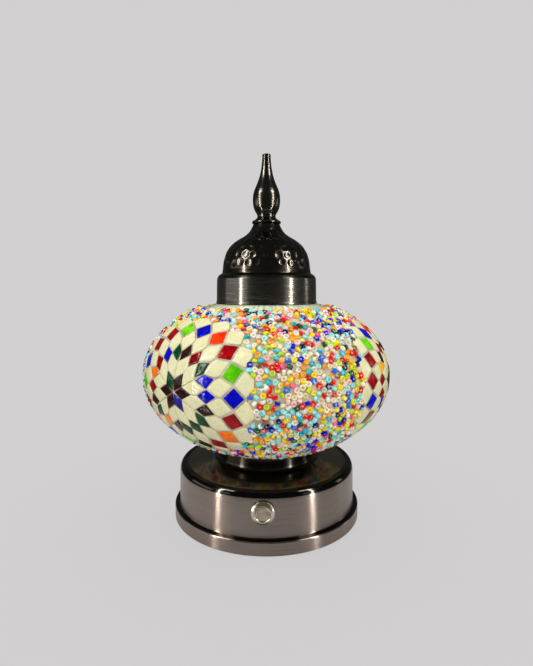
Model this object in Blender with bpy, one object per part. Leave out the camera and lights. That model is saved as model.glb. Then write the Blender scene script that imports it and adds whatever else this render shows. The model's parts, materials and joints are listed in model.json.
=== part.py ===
"""Cordless table lamp: a mosaic glass globe on a spun metal drum, under a hammered cap and a turned finial.

The lamp stands on z = 0 with its axis on Z. Its front, with the push button, faces -Y, and the
charging socket is at the back. Sizes are in millimetres and become metres where a mesh is made.
An azimuth is counted in degrees from the front, positive towards +X.
"""

import math

import bmesh
import bpy
from mathutils import Matrix, Vector

MM = 0.001
GAP = 0.3                    # clearance between pieces that touch
BIG_SEGMENTS = 32            # round pieces over 60 mm across
SMALL_SEGMENTS = 16

# Drum base
FLANGE_RADIUS = 77.6
FLANGE_BOTTOM = 0.6
FLANGE_TOP = 11.0
WALL_FOOT_RADIUS = 73.5
WALL_TOP_RADIUS = 72.9
WALL_TOP = 41.0
DECK_RIM = 45.5
NECK_RADIUS = 40.0
NECK_TOP = 59.0
SHEET = 1.2
PLATE_BOTTOM = 1.9
PLATE_TOP = 3.1
PLATE_RADIUS = 75.6
FOOT_RADIUS = 6.0
FOOT_CIRCLE = 58.0
SCREW_CIRCLE = 66.0
SCREW_AZIMUTHS = (0, 120, 240)
FOOT_AZIMUTHS = (45, 135, 225, 315)

# Globe
GLOBE_CENTRE = 119.3
GLOBE_POWER = 2.08           # 2 would be a plain ellipse
MOSAIC_RADIUS = 101.2
MOSAIC_HALF_HEIGHT = 65.4
MOSAIC_DEPTH = 3.0
GLASS_RADIUS = MOSAIC_RADIUS - MOSAIC_DEPTH
GLASS_HALF_HEIGHT = MOSAIC_HALF_HEIGHT - MOSAIC_DEPTH
GLASS_WALL = 2.2
GLASS_MOUTH = 33.0           # radius of the opening underneath
GLASS_NECK = 35.5
GLASS_RIM = 186.0
MOSAIC_TOP_RADIUS = 54.0     # bare glass shows inside this radius
MOSAIC_FOOT_RADIUS = 42.0
MEDALLION_AZIMUTHS = (-37, 76, 200)
MEDALLION_HALF_WIDTH = 35.0  # degrees round the globe
MEDALLION_HALF_HEIGHT = 46.0  # degrees of the globe's outline

# Cap and finial
CAP_FOOT = 177.1
CAP_TOP = 240.9
CAP_SHEET = 1.0
COLLAR_RADIUS = 41.1
ROD_RADIUS = 5.0
ROD_BOTTOM = 47.0
ROD_TOP = 254.0
ROD_HOLE = ROD_RADIUS + GAP
FINIAL_FLANGE = 11.9
FINIAL_TOP = 296.8

# Push button, on an axis along Y
BUTTON_HEIGHT = 31.0
BEZEL_RADIUS = 8.7
BEZEL_FRONT = -76.2
BARREL_RADIUS = 7.9
BARREL_BACK = -60.0
CAP_RADIUS = 5.4
BUTTON_BORE = 5.65
BUTTON_TRAVEL = 2.0

# Power unit
CELL_RADIUS = 9.2
CELL_LENGTH = 65.0
CELL_SPACING = 19.4
TRAY_CENTRE_Y = -4.0
TRAY_WALL = 1.6
TRAY_FLOOR = PLATE_TOP + GAP
CELL_HEIGHT = TRAY_FLOOR + TRAY_WALL + GAP + CELL_RADIUS
BOARD_BOTTOM = 14.0
BOARD_THICKNESS = 1.6
BOARD_HALF_WIDTH = 16.0
BOARD_FRONT = 31.0
BOARD_BACK = 66.0
SOCKET_HALF_WIDTH = 4.47
SOCKET_HALF_HEIGHT = 1.63
SOCKET_HEIGHT = 17.6
SOCKET_MOUTH = 73.0
SOCKET_BACK = 65.6
LEAD_RADIUS = 0.7
LEAD_HOLE_X = 14.0

# Light unit
HEATSINK_BOTTOM = 64.6
HEATSINK_RADIUS = 24.0
LED_BOARD_BOTTOM = 71.2
CHIP_CIRCLE = 17.5


# Scene and materials -----------------------------------------------------------------------

for old in list(bpy.data.objects):
    bpy.data.objects.remove(old)


def material(name, colour, roughness, metallic=0.0, transmission=0.0):
    """A Principled material, made once for each name."""
    found = bpy.data.materials.get(name)
    if found:
        return found
    made = bpy.data.materials.new(name)
    made.use_nodes = True
    shader = made.node_tree.nodes["Principled BSDF"]
    shader.inputs["Base Color"].default_value = (*colour, 1.0)
    shader.inputs["Roughness"].default_value = roughness
    shader.inputs["Metallic"].default_value = metallic
    shader.inputs["Transmission Weight"].default_value = transmission
    return made


GUNMETAL = material("gunmetal", (0.16, 0.14, 0.13), 0.28, 1.0)
BLACK_NICKEL = material("black_nickel", (0.05, 0.047, 0.045), 0.15, 1.0)
NICKEL = material("nickel", (0.62, 0.57, 0.5), 0.25, 1.0)
ZINC = material("zinc_plate", (0.55, 0.55, 0.56), 0.4, 1.0)
RUBBER = material("black_rubber", (0.02, 0.02, 0.02), 0.8)
CLEAR_GLASS = material("clear_glass", (0.85, 0.92, 0.88), 0.03, 0.0, 1.0)
BEADS = material("seed_beads", (0.75, 0.62, 0.5), 0.35)
TILES = material("glass_tiles", (0.82, 0.79, 0.62), 0.2)
BLACK_PLASTIC = material("black_plastic", (0.03, 0.03, 0.03), 0.5)
CELL_WRAP = material("cell_wrap", (0.1, 0.28, 0.55), 0.4)
CIRCUIT_GREEN = material("circuit_green", (0.02, 0.2, 0.08), 0.45)
WHITE_BOARD = material("white_board", (0.85, 0.85, 0.85), 0.5)
PHOSPHOR = material("led_phosphor", (0.9, 0.7, 0.15), 0.4)
OPAL = material("opal_plastic", (0.9, 0.9, 0.88), 0.4, 0.0, 0.3)
ALUMINIUM = material("aluminium", (0.7, 0.7, 0.72), 0.35, 1.0)
RED_WIRE = material("red_wire", (0.6, 0.03, 0.03), 0.5)
BLACK_WIRE = material("black_wire", (0.02, 0.02, 0.02), 0.5)
WHITE_WIRE = material("white_wire", (0.8, 0.8, 0.8), 0.5)


# Outlines ----------------------------------------------------------------------------------

def arc(centre, radius, start, end, steps):
    """Points on an arc in a plane; angles in degrees from the first axis."""
    angles = [math.radians(start + (end - start) * i / steps) for i in range(steps + 1)]
    return [(centre[0] + radius * math.cos(a), centre[1] + radius * math.sin(a)) for a in angles]


def circle(centre, radius, sides):
    return arc(centre, radius, 0, 360, sides)[:-1]


def rectangle(low, high):
    return [(low[0], low[1]), (high[0], low[1]), (high[0], high[1]), (low[0], high[1])]


def stadium(half_width, half_height, sides):
    """A slot outline: a rectangle with round ends, centred on the origin."""
    flat = half_width - half_height
    return (arc((flat, 0), half_height, -90, 90, sides)
            + arc((-flat, 0), half_height, 90, 270, sides))


def globe_outline(radius, half_height, angle):
    """The globe's flattened outline (r, z) at an angle in degrees above its equator."""
    turn = math.radians(angle)
    side = math.cos(turn) ** (2 / GLOBE_POWER)
    rise = abs(math.sin(turn)) ** (2 / GLOBE_POWER)
    return radius * side, GLOBE_CENTRE + math.copysign(half_height * rise, angle)


def outline_angle(radius, at_radius):
    """The angle, in degrees, where the globe's outline has narrowed to a radius."""
    return math.degrees(math.acos((at_radius / radius) ** (GLOBE_POWER / 2)))


def globe_arc(radius, half_height, steps=12):
    """The stretch of an outline that the mosaic covers. Every layer has its points at the same
    angles, so that the flat faces of one layer stay clear of the next."""
    top = outline_angle(MOSAIC_RADIUS, MOSAIC_TOP_RADIUS)
    foot = -outline_angle(MOSAIC_RADIUS, MOSAIC_FOOT_RADIUS)
    angles = [top + (foot - top) * i / steps for i in range(steps + 1)]
    return [globe_outline(radius, half_height, a) for a in angles]


def smooth(points, steps):
    """A Catmull-Rom curve through the points, with some steps to each span."""
    ends = [points[0], *points, points[-1]]
    curve = []
    for i in range(1, len(ends) - 2):
        p0, p1, p2, p3 = (Vector(p) for p in ends[i - 1:i + 3])
        for step in range(steps):
            t = step / steps
            curve.append(0.5 * (2 * p1 + (p2 - p0) * t + (2 * p0 - 5 * p1 + 4 * p2 - p3) * t ** 2
                                + (3 * p1 - p0 - 3 * p2 + p3) * t ** 3))
    curve.append(Vector(points[-1]))
    return [tuple(p) for p in curve]


def sheet_outline(outer, thickness):
    """A closed outline for a spun sheet: the outer line, and the same line moved inwards."""
    inner = []
    for i, point in enumerate(outer):
        here = Vector(point)
        before = (here - Vector(outer[i - 1])).normalized() if i else None
        after = (Vector(outer[i + 1]) - here).normalized() if i + 1 < len(outer) else None
        before, after = before or after, after or before
        along = (before + after).normalized()
        inward = Vector((along.y, -along.x))
        inner.append(tuple(here + inward * thickness / along.dot(after)))
    return list(outer) + inner[::-1]


# Solids ------------------------------------------------------------------------------------

def to_object(name, mesh_maker, finish, sharp=35):
    """A new object from a bmesh in millimetres, shaded smooth below a sharp angle."""
    bmesh.ops.recalc_face_normals(mesh_maker, faces=mesh_maker.faces)
    bmesh.ops.scale(mesh_maker, vec=(MM, MM, MM), verts=mesh_maker.verts)
    mesh = bpy.data.meshes.new(name)
    mesh_maker.to_mesh(mesh)
    mesh_maker.free()
    mesh.shade_smooth()
    mesh.set_sharp_from_angle(angle=math.radians(sharp))
    mesh.materials.append(finish)
    made = bpy.data.objects.new(name, mesh)
    bpy.context.scene.collection.objects.link(made)
    return made


def turned(name, outline, finish, segments=BIG_SEGMENTS, place=Matrix()):
    """A solid of revolution from a closed outline of (r, z) points."""
    maker = bmesh.new()
    points = [maker.verts.new((r, 0, z)) for r, z in outline]
    edges = [maker.edges.new((points[i - 1], points[i])) for i in range(len(points))]
    bmesh.ops.spin(maker, geom=points + edges, cent=(0, 0, 0), axis=(0, 0, 1),
                   angle=2 * math.pi, steps=segments, use_merge=True)
    bmesh.ops.remove_doubles(maker, verts=maker.verts, dist=0.001)
    bmesh.ops.dissolve_degenerate(maker, edges=maker.edges, dist=0.001)
    lonely = [e for e in maker.edges if not e.link_faces]
    bmesh.ops.delete(maker, geom=lonely, context="EDGES")
    maker.transform(place)
    return to_object(name, maker, finish)


def extruded(name, loops, depth, finish, place=Matrix()):
    """A flat outline with holes, first loop outermost, drawn on XY and extruded along +Z."""
    maker = bmesh.new()
    for loop in loops:
        points = [maker.verts.new((x, y, 0)) for x, y in loop]
        for i in range(len(points)):
            maker.edges.new((points[i - 1], points[i]))
    bmesh.ops.triangle_fill(maker, use_beauty=True, use_dissolve=False, edges=maker.edges)
    sides = bmesh.ops.extrude_face_region(maker, geom=maker.faces[:])
    moved = [v for v in sides["geom"] if isinstance(v, bmesh.types.BMVert)]
    bmesh.ops.translate(maker, vec=(0, 0, depth), verts=moved)
    maker.transform(place)
    return to_object(name, maker, finish)


def block(name, low, high, finish):
    """A box between two corners."""
    return extruded(name, [rectangle(low, high)], high[2] - low[2], finish,
                    Matrix.Translation((0, 0, low[2])))


def wire(name, points, radius, finish, steps=3, sides=1):
    """A round wire along a smooth curve through the points."""
    line = smooth(points, steps)
    curve = bpy.data.curves.new(name, "CURVE")
    curve.dimensions = "3D"
    curve.bevel_depth = radius * MM
    curve.bevel_resolution = sides
    curve.use_fill_caps = True
    spline = curve.splines.new("POLY")
    spline.points.add(len(line) - 1)
    for knot, point in zip(spline.points, line):
        knot.co = (*(Vector(point) * MM), 1.0)
    curve.materials.append(finish)
    made = bpy.data.objects.new(name, curve)
    bpy.context.scene.collection.objects.link(made)
    return made


def boolean(target, cutter, operation="DIFFERENCE"):
    """Cuts the target with a hidden solid."""
    cutter.hide_render = True
    cutter.display_type = "WIRE"
    step = target.modifiers.new("cut", "BOOLEAN")
    step.operation = operation
    step.solver = "EXACT"
    step.object = cutter


def round_cutter(name, radius, low, high, place=Matrix(), sides=SMALL_SEGMENTS):
    return extruded(name, [circle((0, 0), radius, sides)], high - low, ZINC,
                    place @ Matrix.Translation((0, 0, low)))


def turn(azimuth):
    """A turn about the lamp's axis that takes the front, -Y, to an azimuth."""
    return Matrix.Rotation(math.radians(azimuth), 4, "Z")


ALONG_Y = Matrix.Rotation(math.radians(-90), 4, "X")   # local +Z becomes +Y, local +Y becomes -Z
BUTTON_AXIS = Matrix.Translation((0, 0, BUTTON_HEIGHT)) @ ALONG_Y
SOCKET_AXIS = Matrix.Translation((0, 0, SOCKET_HEIGHT)) @ ALONG_Y


# Drum base ---------------------------------------------------------------------------------

def base_housing():
    """The spun drum, from the globe's seat over the neck, deck and wall to the flange."""
    outer = [
        (ROD_HOLE, NECK_TOP),
        (NECK_RADIUS - 1.2, NECK_TOP),
        (NECK_RADIUS, NECK_TOP - 1.2),
        *arc((NECK_RADIUS + 6.5, 53.6), 6.5, 180, 262, 4),
        (58.0, 46.6),
        (65.6, DECK_RIM),
        (67.6, 44.7),
        (69.4, 45.0),
        (71.4, 43.8),
        (WALL_TOP_RADIUS, WALL_TOP),
        *arc((WALL_FOOT_RADIUS + 2.6, FLANGE_TOP + 2.6), 2.6, 180, 260, 3),
        (FLANGE_RADIUS - 0.6, FLANGE_TOP - 0.3),
        (FLANGE_RADIUS, FLANGE_TOP - 1.5),
        (FLANGE_RADIUS, FLANGE_BOTTOM),
    ]
    drum = turned("base_housing", sheet_outline(outer, SHEET), GUNMETAL)
    button_hole = BARREL_RADIUS + GAP
    boolean(drum, round_cutter("button_hole", button_hole, -85, -60, BUTTON_AXIS, 24))
    slot = stadium(SOCKET_HALF_WIDTH + GAP, SOCKET_HALF_HEIGHT + GAP, 5)
    boolean(drum, extruded("socket_hole", [slot], 12, ZINC,
                           SOCKET_AXIS @ Matrix.Translation((0, 0, 67))))
    for side in (-1, 1):
        place = Matrix.Translation((side * LEAD_HOLE_X, 0, 0))
        boolean(drum, round_cutter(f"lead_hole_{side}", 2.0, 55, 62, place, 10))


def on_circle(azimuth, radius):
    """The (x, y) place at an azimuth and a distance from the axis."""
    turned_to = math.radians(azimuth)
    return radius * math.sin(turned_to), -radius * math.cos(turned_to)


def bottom_plate():
    holes = [circle(on_circle(a, SCREW_CIRCLE), 1.9, 10) for a in SCREW_AZIMUTHS]
    extruded("bottom_plate", [circle((0, 0), PLATE_RADIUS, BIG_SEGMENTS), *holes],
             PLATE_TOP - PLATE_BOTTOM, ZINC, Matrix.Translation((0, 0, PLATE_BOTTOM)))


def plate_fixings():
    """An angle bracket welded inside the wall, and the screw that holds the plate to it."""
    inner, leg, outer = 61.0, 69.7, 71.2
    foot, web, top = PLATE_TOP + GAP, PLATE_TOP + GAP + 1.5, 18.0
    half_width = 6.0
    profile = [(inner, foot), (outer, foot), (outer, top), (leg, top), (leg, web), (inner, web)]
    stand_up = Matrix(((0, 0, 1, -half_width), (-1, 0, 0, 0), (0, 1, 0, 0), (0, 0, 0, 1)))
    screw = [(0, 8.0), (1.2, 8.0), (1.5, 7.6), (1.5, 1.6), (3.2, 1.6), (3.0, 0.7), (2.2, 0.4), (0, 0.4)]
    for number, azimuth in enumerate(SCREW_AZIMUTHS, 1):
        place = Matrix.Translation((*on_circle(azimuth, SCREW_CIRCLE), 0))
        bracket = extruded(f"plate_bracket_{number}", [profile], 2 * half_width, ZINC,
                           turn(azimuth) @ stand_up)
        boolean(bracket, round_cutter(f"bracket_hole_{number}", 1.9, 0, 8, place, 10))
        turned(f"plate_screw_{number}", screw, ZINC, 12, place)


def rubber_feet():
    pad = [(0, 1.6), (FOOT_RADIUS, 1.6), (FOOT_RADIUS, 0.3), (FOOT_RADIUS - 0.3, 0), (0, 0)]
    for number, azimuth in enumerate(FOOT_AZIMUTHS, 1):
        place = Matrix.Translation((*on_circle(azimuth, FOOT_CIRCLE), 0))
        turned(f"rubber_foot_{number}", pad, RUBBER, SMALL_SEGMENTS, place)


# Push button -------------------------------------------------------------------------------

def push_button():
    """A sprung round switch through the front wall; its outlines are (radius, y)."""
    seal_front, seal_back = -74.2, -73.5
    nut_front, nut_back = -70.4, -65.8
    ledge = -62.0
    body = [
        (BUTTON_BORE, BEZEL_FRONT + 0.3),
        (BUTTON_BORE + 0.3, BEZEL_FRONT),
        (BEZEL_RADIUS - 0.2, BEZEL_FRONT + 1.3),
        (BEZEL_RADIUS, BEZEL_FRONT + 1.5),
        (BEZEL_RADIUS, seal_front - GAP),
        (BARREL_RADIUS, seal_front - GAP),
        (BARREL_RADIUS, BARREL_BACK),
        (5.2, BARREL_BACK),
        (5.2, ledge),
        (BUTTON_BORE, ledge),
    ]
    turned("switch_body", body, NICKEL, 24, BUTTON_AXIS)
    face = BEZEL_FRONT + 0.1
    cap_back = face + 4.0
    stem_end = BARREL_BACK - 0.6
    cap = [(0, face), (CAP_RADIUS - 0.4, face), (CAP_RADIUS, face + 0.4), (CAP_RADIUS, cap_back),
           (1.9, cap_back), (1.9, stem_end), (0, stem_end)]
    button = turned("switch_button", cap, NICKEL, 24, ALONG_Y)
    button.location = (0, 0, BUTTON_HEIGHT * MM)
    seal = [(BARREL_RADIUS + GAP, seal_front), (BEZEL_RADIUS - 0.2, seal_front),
            (BEZEL_RADIUS - 0.2, seal_back), (BARREL_RADIUS + GAP, seal_back)]
    turned("switch_seal", seal, RUBBER, 24, BUTTON_AXIS)
    hexagon = circle((0, 0), 11.5, 6)
    bore = circle((0, 0), BARREL_RADIUS + GAP, 24)
    extruded("switch_nut", [hexagon, bore], nut_back - nut_front, NICKEL,
             BUTTON_AXIS @ Matrix.Translation((0, 0, nut_front)))
    base_front, base_back = BARREL_BACK + GAP, -54.0
    base = [(2.4, base_front), (7.4, base_front), (7.4, base_back), (0, base_back),
            (0, base_back - 1.6), (2.4, base_back - 1.6)]
    turned("switch_base", base, BLACK_PLASTIC, 20, BUTTON_AXIS)
    coil_front, coil_back = cap_back + 0.7, base_front - 0.7
    turns, per_turn, coil_radius = 4, 8, 3.6
    coil = []
    for i in range(turns * per_turn + 1):
        angle = 2 * math.pi * i / per_turn
        y = coil_front + (coil_back - coil_front) * i / (turns * per_turn)
        coil.append((coil_radius * math.cos(angle), y, BUTTON_HEIGHT + coil_radius * math.sin(angle)))
    wire("switch_spring", coil, 0.35, ZINC, 1)
    for number, side in enumerate((-1, 1), 1):
        low = (side * 3.5 - 1.4, base_back + GAP, BUTTON_HEIGHT - 0.25)
        high = (side * 3.5 + 1.4, -48.5, BUTTON_HEIGHT + 0.25)
        block(f"switch_terminal_{number}", low, high, NICKEL)


# Power unit --------------------------------------------------------------------------------

def battery_pack():
    """Two round cells side by side in a tray, between a contact plate at each end."""
    half = CELL_LENGTH / 2
    contact_inner, contact_outer = half + 2.0, half + 2.5
    cavity_x = contact_outer + GAP
    cavity_y = CELL_SPACING / 2 + CELL_RADIUS + GAP
    tray_top = 19.0
    tray = block("battery_tray",
                 (-cavity_x - TRAY_WALL, TRAY_CENTRE_Y - cavity_y - TRAY_WALL, TRAY_FLOOR),
                 (cavity_x + TRAY_WALL, TRAY_CENTRE_Y + cavity_y + TRAY_WALL, tray_top),
                 BLACK_PLASTIC)
    boolean(tray, block("tray_cavity",
                        (-cavity_x, TRAY_CENTRE_Y - cavity_y, TRAY_FLOOR + TRAY_WALL),
                        (cavity_x, TRAY_CENTRE_Y + cavity_y, tray_top + 5), ZINC))
    along_x = Matrix.Rotation(math.radians(90), 4, "Y")
    cell = [(0, half + 1.4), (2.8, half + 1.4), (2.8, half), (CELL_RADIUS - 0.8, half),
            (CELL_RADIUS, half - 0.8), (CELL_RADIUS, 0.8 - half), (CELL_RADIUS - 0.8, -half), (0, -half)]
    for number, side in enumerate((-1, 1), 1):
        y = TRAY_CENTRE_Y + side * CELL_SPACING / 2
        turned(f"battery_cell_{number}", cell, CELL_WRAP, 20,
               Matrix.Translation((0, y, CELL_HEIGHT)) @ along_x)
    plate_low, plate_high = TRAY_FLOOR + TRAY_WALL + GAP, 18.5
    tab_high = 23.0
    reach = cavity_y - 1.0
    outline = [(-reach, plate_low), (reach, plate_low), (reach, tab_high), (reach - 5, tab_high),
               (reach - 5, plate_high), (-reach, plate_high)]
    face_x = Matrix(((0, 0, 1, 0), (1, 0, 0, 0), (0, 1, 0, 0), (0, 0, 0, 1)))
    for name, x in (("cell_contact_plus", contact_inner), ("cell_contact_minus", -contact_outer)):
        extruded(name, [outline], contact_outer - contact_inner, NICKEL,
                 Matrix.Translation((x, TRAY_CENTRE_Y, 0)) @ face_x)


def charge_unit():
    """The charging board on two posts, with its socket in the back wall."""
    board_top = BOARD_BOTTOM + BOARD_THICKNESS
    posts = ((-12.0, 38.0), (12.0, 58.0))
    outline = rectangle((-BOARD_HALF_WIDTH, BOARD_FRONT), (BOARD_HALF_WIDTH, BOARD_BACK))
    holes = [circle(at, 1.5, 10) for at in posts]
    extruded("charge_board", [outline, *holes], BOARD_THICKNESS, CIRCUIT_GREEN,
             Matrix.Translation((0, 0, BOARD_BOTTOM)))
    post_low, post_high = PLATE_TOP + GAP, BOARD_BOTTOM - GAP
    post = [(1.5, post_high), (2.8, post_high), (2.8, post_low), (0, post_low), (0, 7.0), (1.5, 7.0)]
    head = board_top + GAP
    screw = [(0, head + 1.4), (2.3, head + 1.4), (2.3, head), (1.2, head), (1.2, 7.6), (0, 7.6)]
    for number, at in enumerate(posts, 1):
        place = Matrix.Translation((*at, 0))
        turned(f"board_post_{number}", post, BLACK_PLASTIC, 12, place)
        turned(f"board_screw_{number}", screw, ZINC, 12, place)
    depth = SOCKET_MOUTH - SOCKET_BACK
    shell = stadium(SOCKET_HALF_WIDTH, SOCKET_HALF_HEIGHT, 5)
    hollow = stadium(SOCKET_HALF_WIDTH - 0.3, SOCKET_HALF_HEIGHT - 0.3, 5)
    extruded("charge_socket", [shell, hollow], depth, NICKEL,
             SOCKET_AXIS @ Matrix.Translation((0, 0, SOCKET_BACK)))
    block("socket_tongue", (-3.3, SOCKET_BACK, SOCKET_HEIGHT - 0.35),
          (3.3, SOCKET_MOUTH - 1.0, SOCKET_HEIGHT + 0.35), BLACK_PLASTIC)


# Rod and light unit ------------------------------------------------------------------------

def hex_nut(name, low, height):
    extruded(name, [circle((0, 0), 9.8, 6), circle((0, 0), ROD_HOLE, SMALL_SEGMENTS)], height, ZINC,
             Matrix.Translation((0, 0, low)))


def rod_and_nuts():
    """The threaded rod that ties base, globe, cap and finial together."""
    rod = [(0, ROD_TOP), (ROD_RADIUS - 0.6, ROD_TOP), (ROD_RADIUS, ROD_TOP - 0.6),
           (ROD_RADIUS, ROD_BOTTOM + 0.6), (ROD_RADIUS - 0.6, ROD_BOTTOM), (0, ROD_BOTTOM)]
    turned("threaded_rod", rod, ZINC, SMALL_SEGMENTS)
    nut_height = 5.0
    hex_nut("rod_nut_lower", NECK_TOP - SHEET - GAP - nut_height, nut_height)
    hex_nut("rod_nut_upper", NECK_TOP + GAP, nut_height)


def light_unit():
    """An aluminium disc on the rod, with a ring board of four LEDs under an opal dome."""
    sink_top = LED_BOARD_BOTTOM - GAP
    extruded("led_heatsink",
             [circle((0, 0), HEATSINK_RADIUS, 24), circle((0, 0), ROD_HOLE, SMALL_SEGMENTS),
              circle((LEAD_HOLE_X, 0), 1.6, 10), circle((-LEAD_HOLE_X, 0), 1.6, 10)],
             sink_top - HEATSINK_BOTTOM, ALUMINIUM, Matrix.Translation((0, 0, HEATSINK_BOTTOM)))
    board_thickness = 1.6
    extruded("led_board",
             [circle((0, 0), 22.0, 24), circle((0, 0), ROD_HOLE + 1.0, SMALL_SEGMENTS)],
             board_thickness, WHITE_BOARD, Matrix.Translation((0, 0, LED_BOARD_BOTTOM)))
    chip_low = LED_BOARD_BOTTOM + board_thickness + GAP
    for number in range(4):
        x, y = on_circle(45 + 90 * number, CHIP_CIRCLE)
        block(f"led_chip_{number + 1}", (x - 1.75, y - 1.75, chip_low), (x + 1.75, y + 1.75, chip_low + 0.9),
              PHOSPHOR)
    dome = [
        (ROD_HOLE + 0.5, 95.0),
        (14.0, 93.5),
        (21.0, 88.5),
        (25.2, 81.0),
        (26.6, 73.0),
        (26.6, 65.5),
    ]
    turned("led_diffuser", sheet_outline(dome, 1.6), OPAL, 24)


# Globe -------------------------------------------------------------------------------------

def glass_globe():
    """The blown globe: open underneath, with a short neck on top."""
    shoulder = outline_angle(GLASS_RADIUS, 40.0)
    mouth = -outline_angle(GLASS_RADIUS, GLASS_MOUTH)
    outer = [
        (GLASS_NECK - 0.4, GLASS_RIM),
        (GLASS_NECK, GLASS_RIM - 1.0),
        (GLASS_NECK + 0.2, 179.8),
        (GLASS_NECK + 1.8, 177.6),
        globe_outline(GLASS_RADIUS, GLASS_HALF_HEIGHT, shoulder),
        *globe_arc(GLASS_RADIUS, GLASS_HALF_HEIGHT),
        globe_outline(GLASS_RADIUS, GLASS_HALF_HEIGHT, mouth),
    ]
    turned("glass_globe", sheet_outline(outer, GLASS_WALL), CLEAR_GLASS)


def mosaic_shell(name, finish):
    """The whole layer laid on the glass, before the medallions are parted from the beads."""
    outer = globe_arc(MOSAIC_RADIUS, MOSAIC_HALF_HEIGHT)
    inner = globe_arc(GLASS_RADIUS + GAP, GLASS_HALF_HEIGHT + GAP)
    return turned(name, outer + inner[::-1], finish)


def medallion_cutter(name, azimuth, spread):
    """A thick round patch of the globe's surface, spread degrees larger than a medallion."""
    maker = bmesh.new()
    sides = 28
    shells = []
    for inset, grow in ((-6.0, 0.9), (6.0, 1.1)):
        ring = []
        for i in range(sides):
            angle = 2 * math.pi * i / sides
            across = (MEDALLION_HALF_WIDTH + spread) * math.cos(angle)
            up = (MEDALLION_HALF_HEIGHT + spread) * math.sin(angle)
            r, z = globe_outline(MOSAIC_RADIUS, MOSAIC_HALF_HEIGHT, up)
            x, y = on_circle(azimuth + across, r * grow)
            ring.append(maker.verts.new((x, y, GLOBE_CENTRE + (z - GLOBE_CENTRE) * grow)))
        shells.append(ring)
        centre = maker.verts.new((*on_circle(azimuth, MOSAIC_RADIUS + 3 * inset), GLOBE_CENTRE))
        for i in range(sides):
            maker.faces.new((ring[i - 1], ring[i], centre))
    for i in range(sides):
        maker.faces.new((shells[0][i - 1], shells[0][i], shells[1][i], shells[1][i - 1]))
    return to_object(name, maker, TILES)


def mosaic():
    """A field of seed beads with a tiled medallion in each of its three windows."""
    beads = mosaic_shell("bead_field", BEADS)
    margin = 0.2
    for number, azimuth in enumerate(MEDALLION_AZIMUTHS, 1):
        tiles = mosaic_shell(f"medallion_{number}", TILES)
        boolean(tiles, medallion_cutter(f"tile_patch_{number}", azimuth, 0.0), "INTERSECT")
        boolean(beads, medallion_cutter(f"bead_window_{number}", azimuth, margin))


def globe_seals():
    """Rubber under and over the glass, and the disc that keeps the rod in the middle."""
    seat = [(GLASS_MOUTH, 59.8), (38.5, 60.9), (38.5, NECK_TOP + GAP), (GLASS_MOUTH, NECK_TOP + GAP)]
    turned("globe_seat_ring", seat, RUBBER)
    low, high = GLASS_RIM + GAP, GLASS_RIM + GAP + 2.0
    inside = GLASS_NECK - GLASS_WALL
    turned("neck_gasket", [(inside, high), (GLASS_NECK, high), (GLASS_NECK, low), (inside, low)], RUBBER)
    vents = [circle(on_circle(90 * i, 21.0), 5.0, 12) for i in range(4)]
    extruded("centring_disc",
             [circle((0, 0), 37.0, BIG_SEGMENTS), circle((0, 0), ROD_HOLE, SMALL_SEGMENTS), *vents],
             1.5, ZINC, Matrix.Translation((0, 0, high + GAP)))
    hex_nut("clamp_nut", high + GAP + 1.5 + GAP, 5.0)


# Cap and finial ----------------------------------------------------------------------------

def top_cap():
    """The hammered dome and its plain collar, pressed from one sheet."""
    dome = [
        (11.5, 239.2),
        (15.6, 233.4),
        (25.8, 226.8),
        (33.0, 218.0),
        (35.5, 208.0),
        (35.9, 202.8),
    ]
    outer = [
        (ROD_HOLE, CAP_TOP),
        (10.6, CAP_TOP),
        *smooth(dome, 2),
        (37.6, 200.6),
        (39.6, 199.4),
        (COLLAR_RADIUS - 0.4, 196.8),
        (COLLAR_RADIUS, 180.0),
        (COLLAR_RADIUS + 0.5, CAP_FOOT),
    ]
    turned("top_cap", sheet_outline(outer, CAP_SHEET), BLACK_NICKEL)


def finial():
    """The turned knob that screws on the rod and holds the cap down."""
    foot = CAP_TOP + GAP
    belly = [
        (7.5, 247.2),
        (9.6, 251.4),
        (11.2, 260.4),
        (9.6, 269.0),
        (5.6, 279.2),
        (3.6, 288.6),
        (3.0, 294.6),
    ]
    bore, bore_top = ROD_HOLE, ROD_TOP + 1.5
    outline = [
        (0, FINIAL_TOP),
        (2.0, FINIAL_TOP),
        (2.9, FINIAL_TOP - 0.9),
        *smooth(belly, 2)[::-1],
        (8.6, 245.6),
        (FINIAL_FLANGE - 0.6, 244.6),
        (FINIAL_FLANGE, 243.2),
        (FINIAL_FLANGE - 0.5, foot),
        (bore, foot),
        (bore, bore_top),
        (0, bore_top),
    ]
    turned("finial", outline, BLACK_NICKEL, 20)


# Leads -------------------------------------------------------------------------------------

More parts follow.
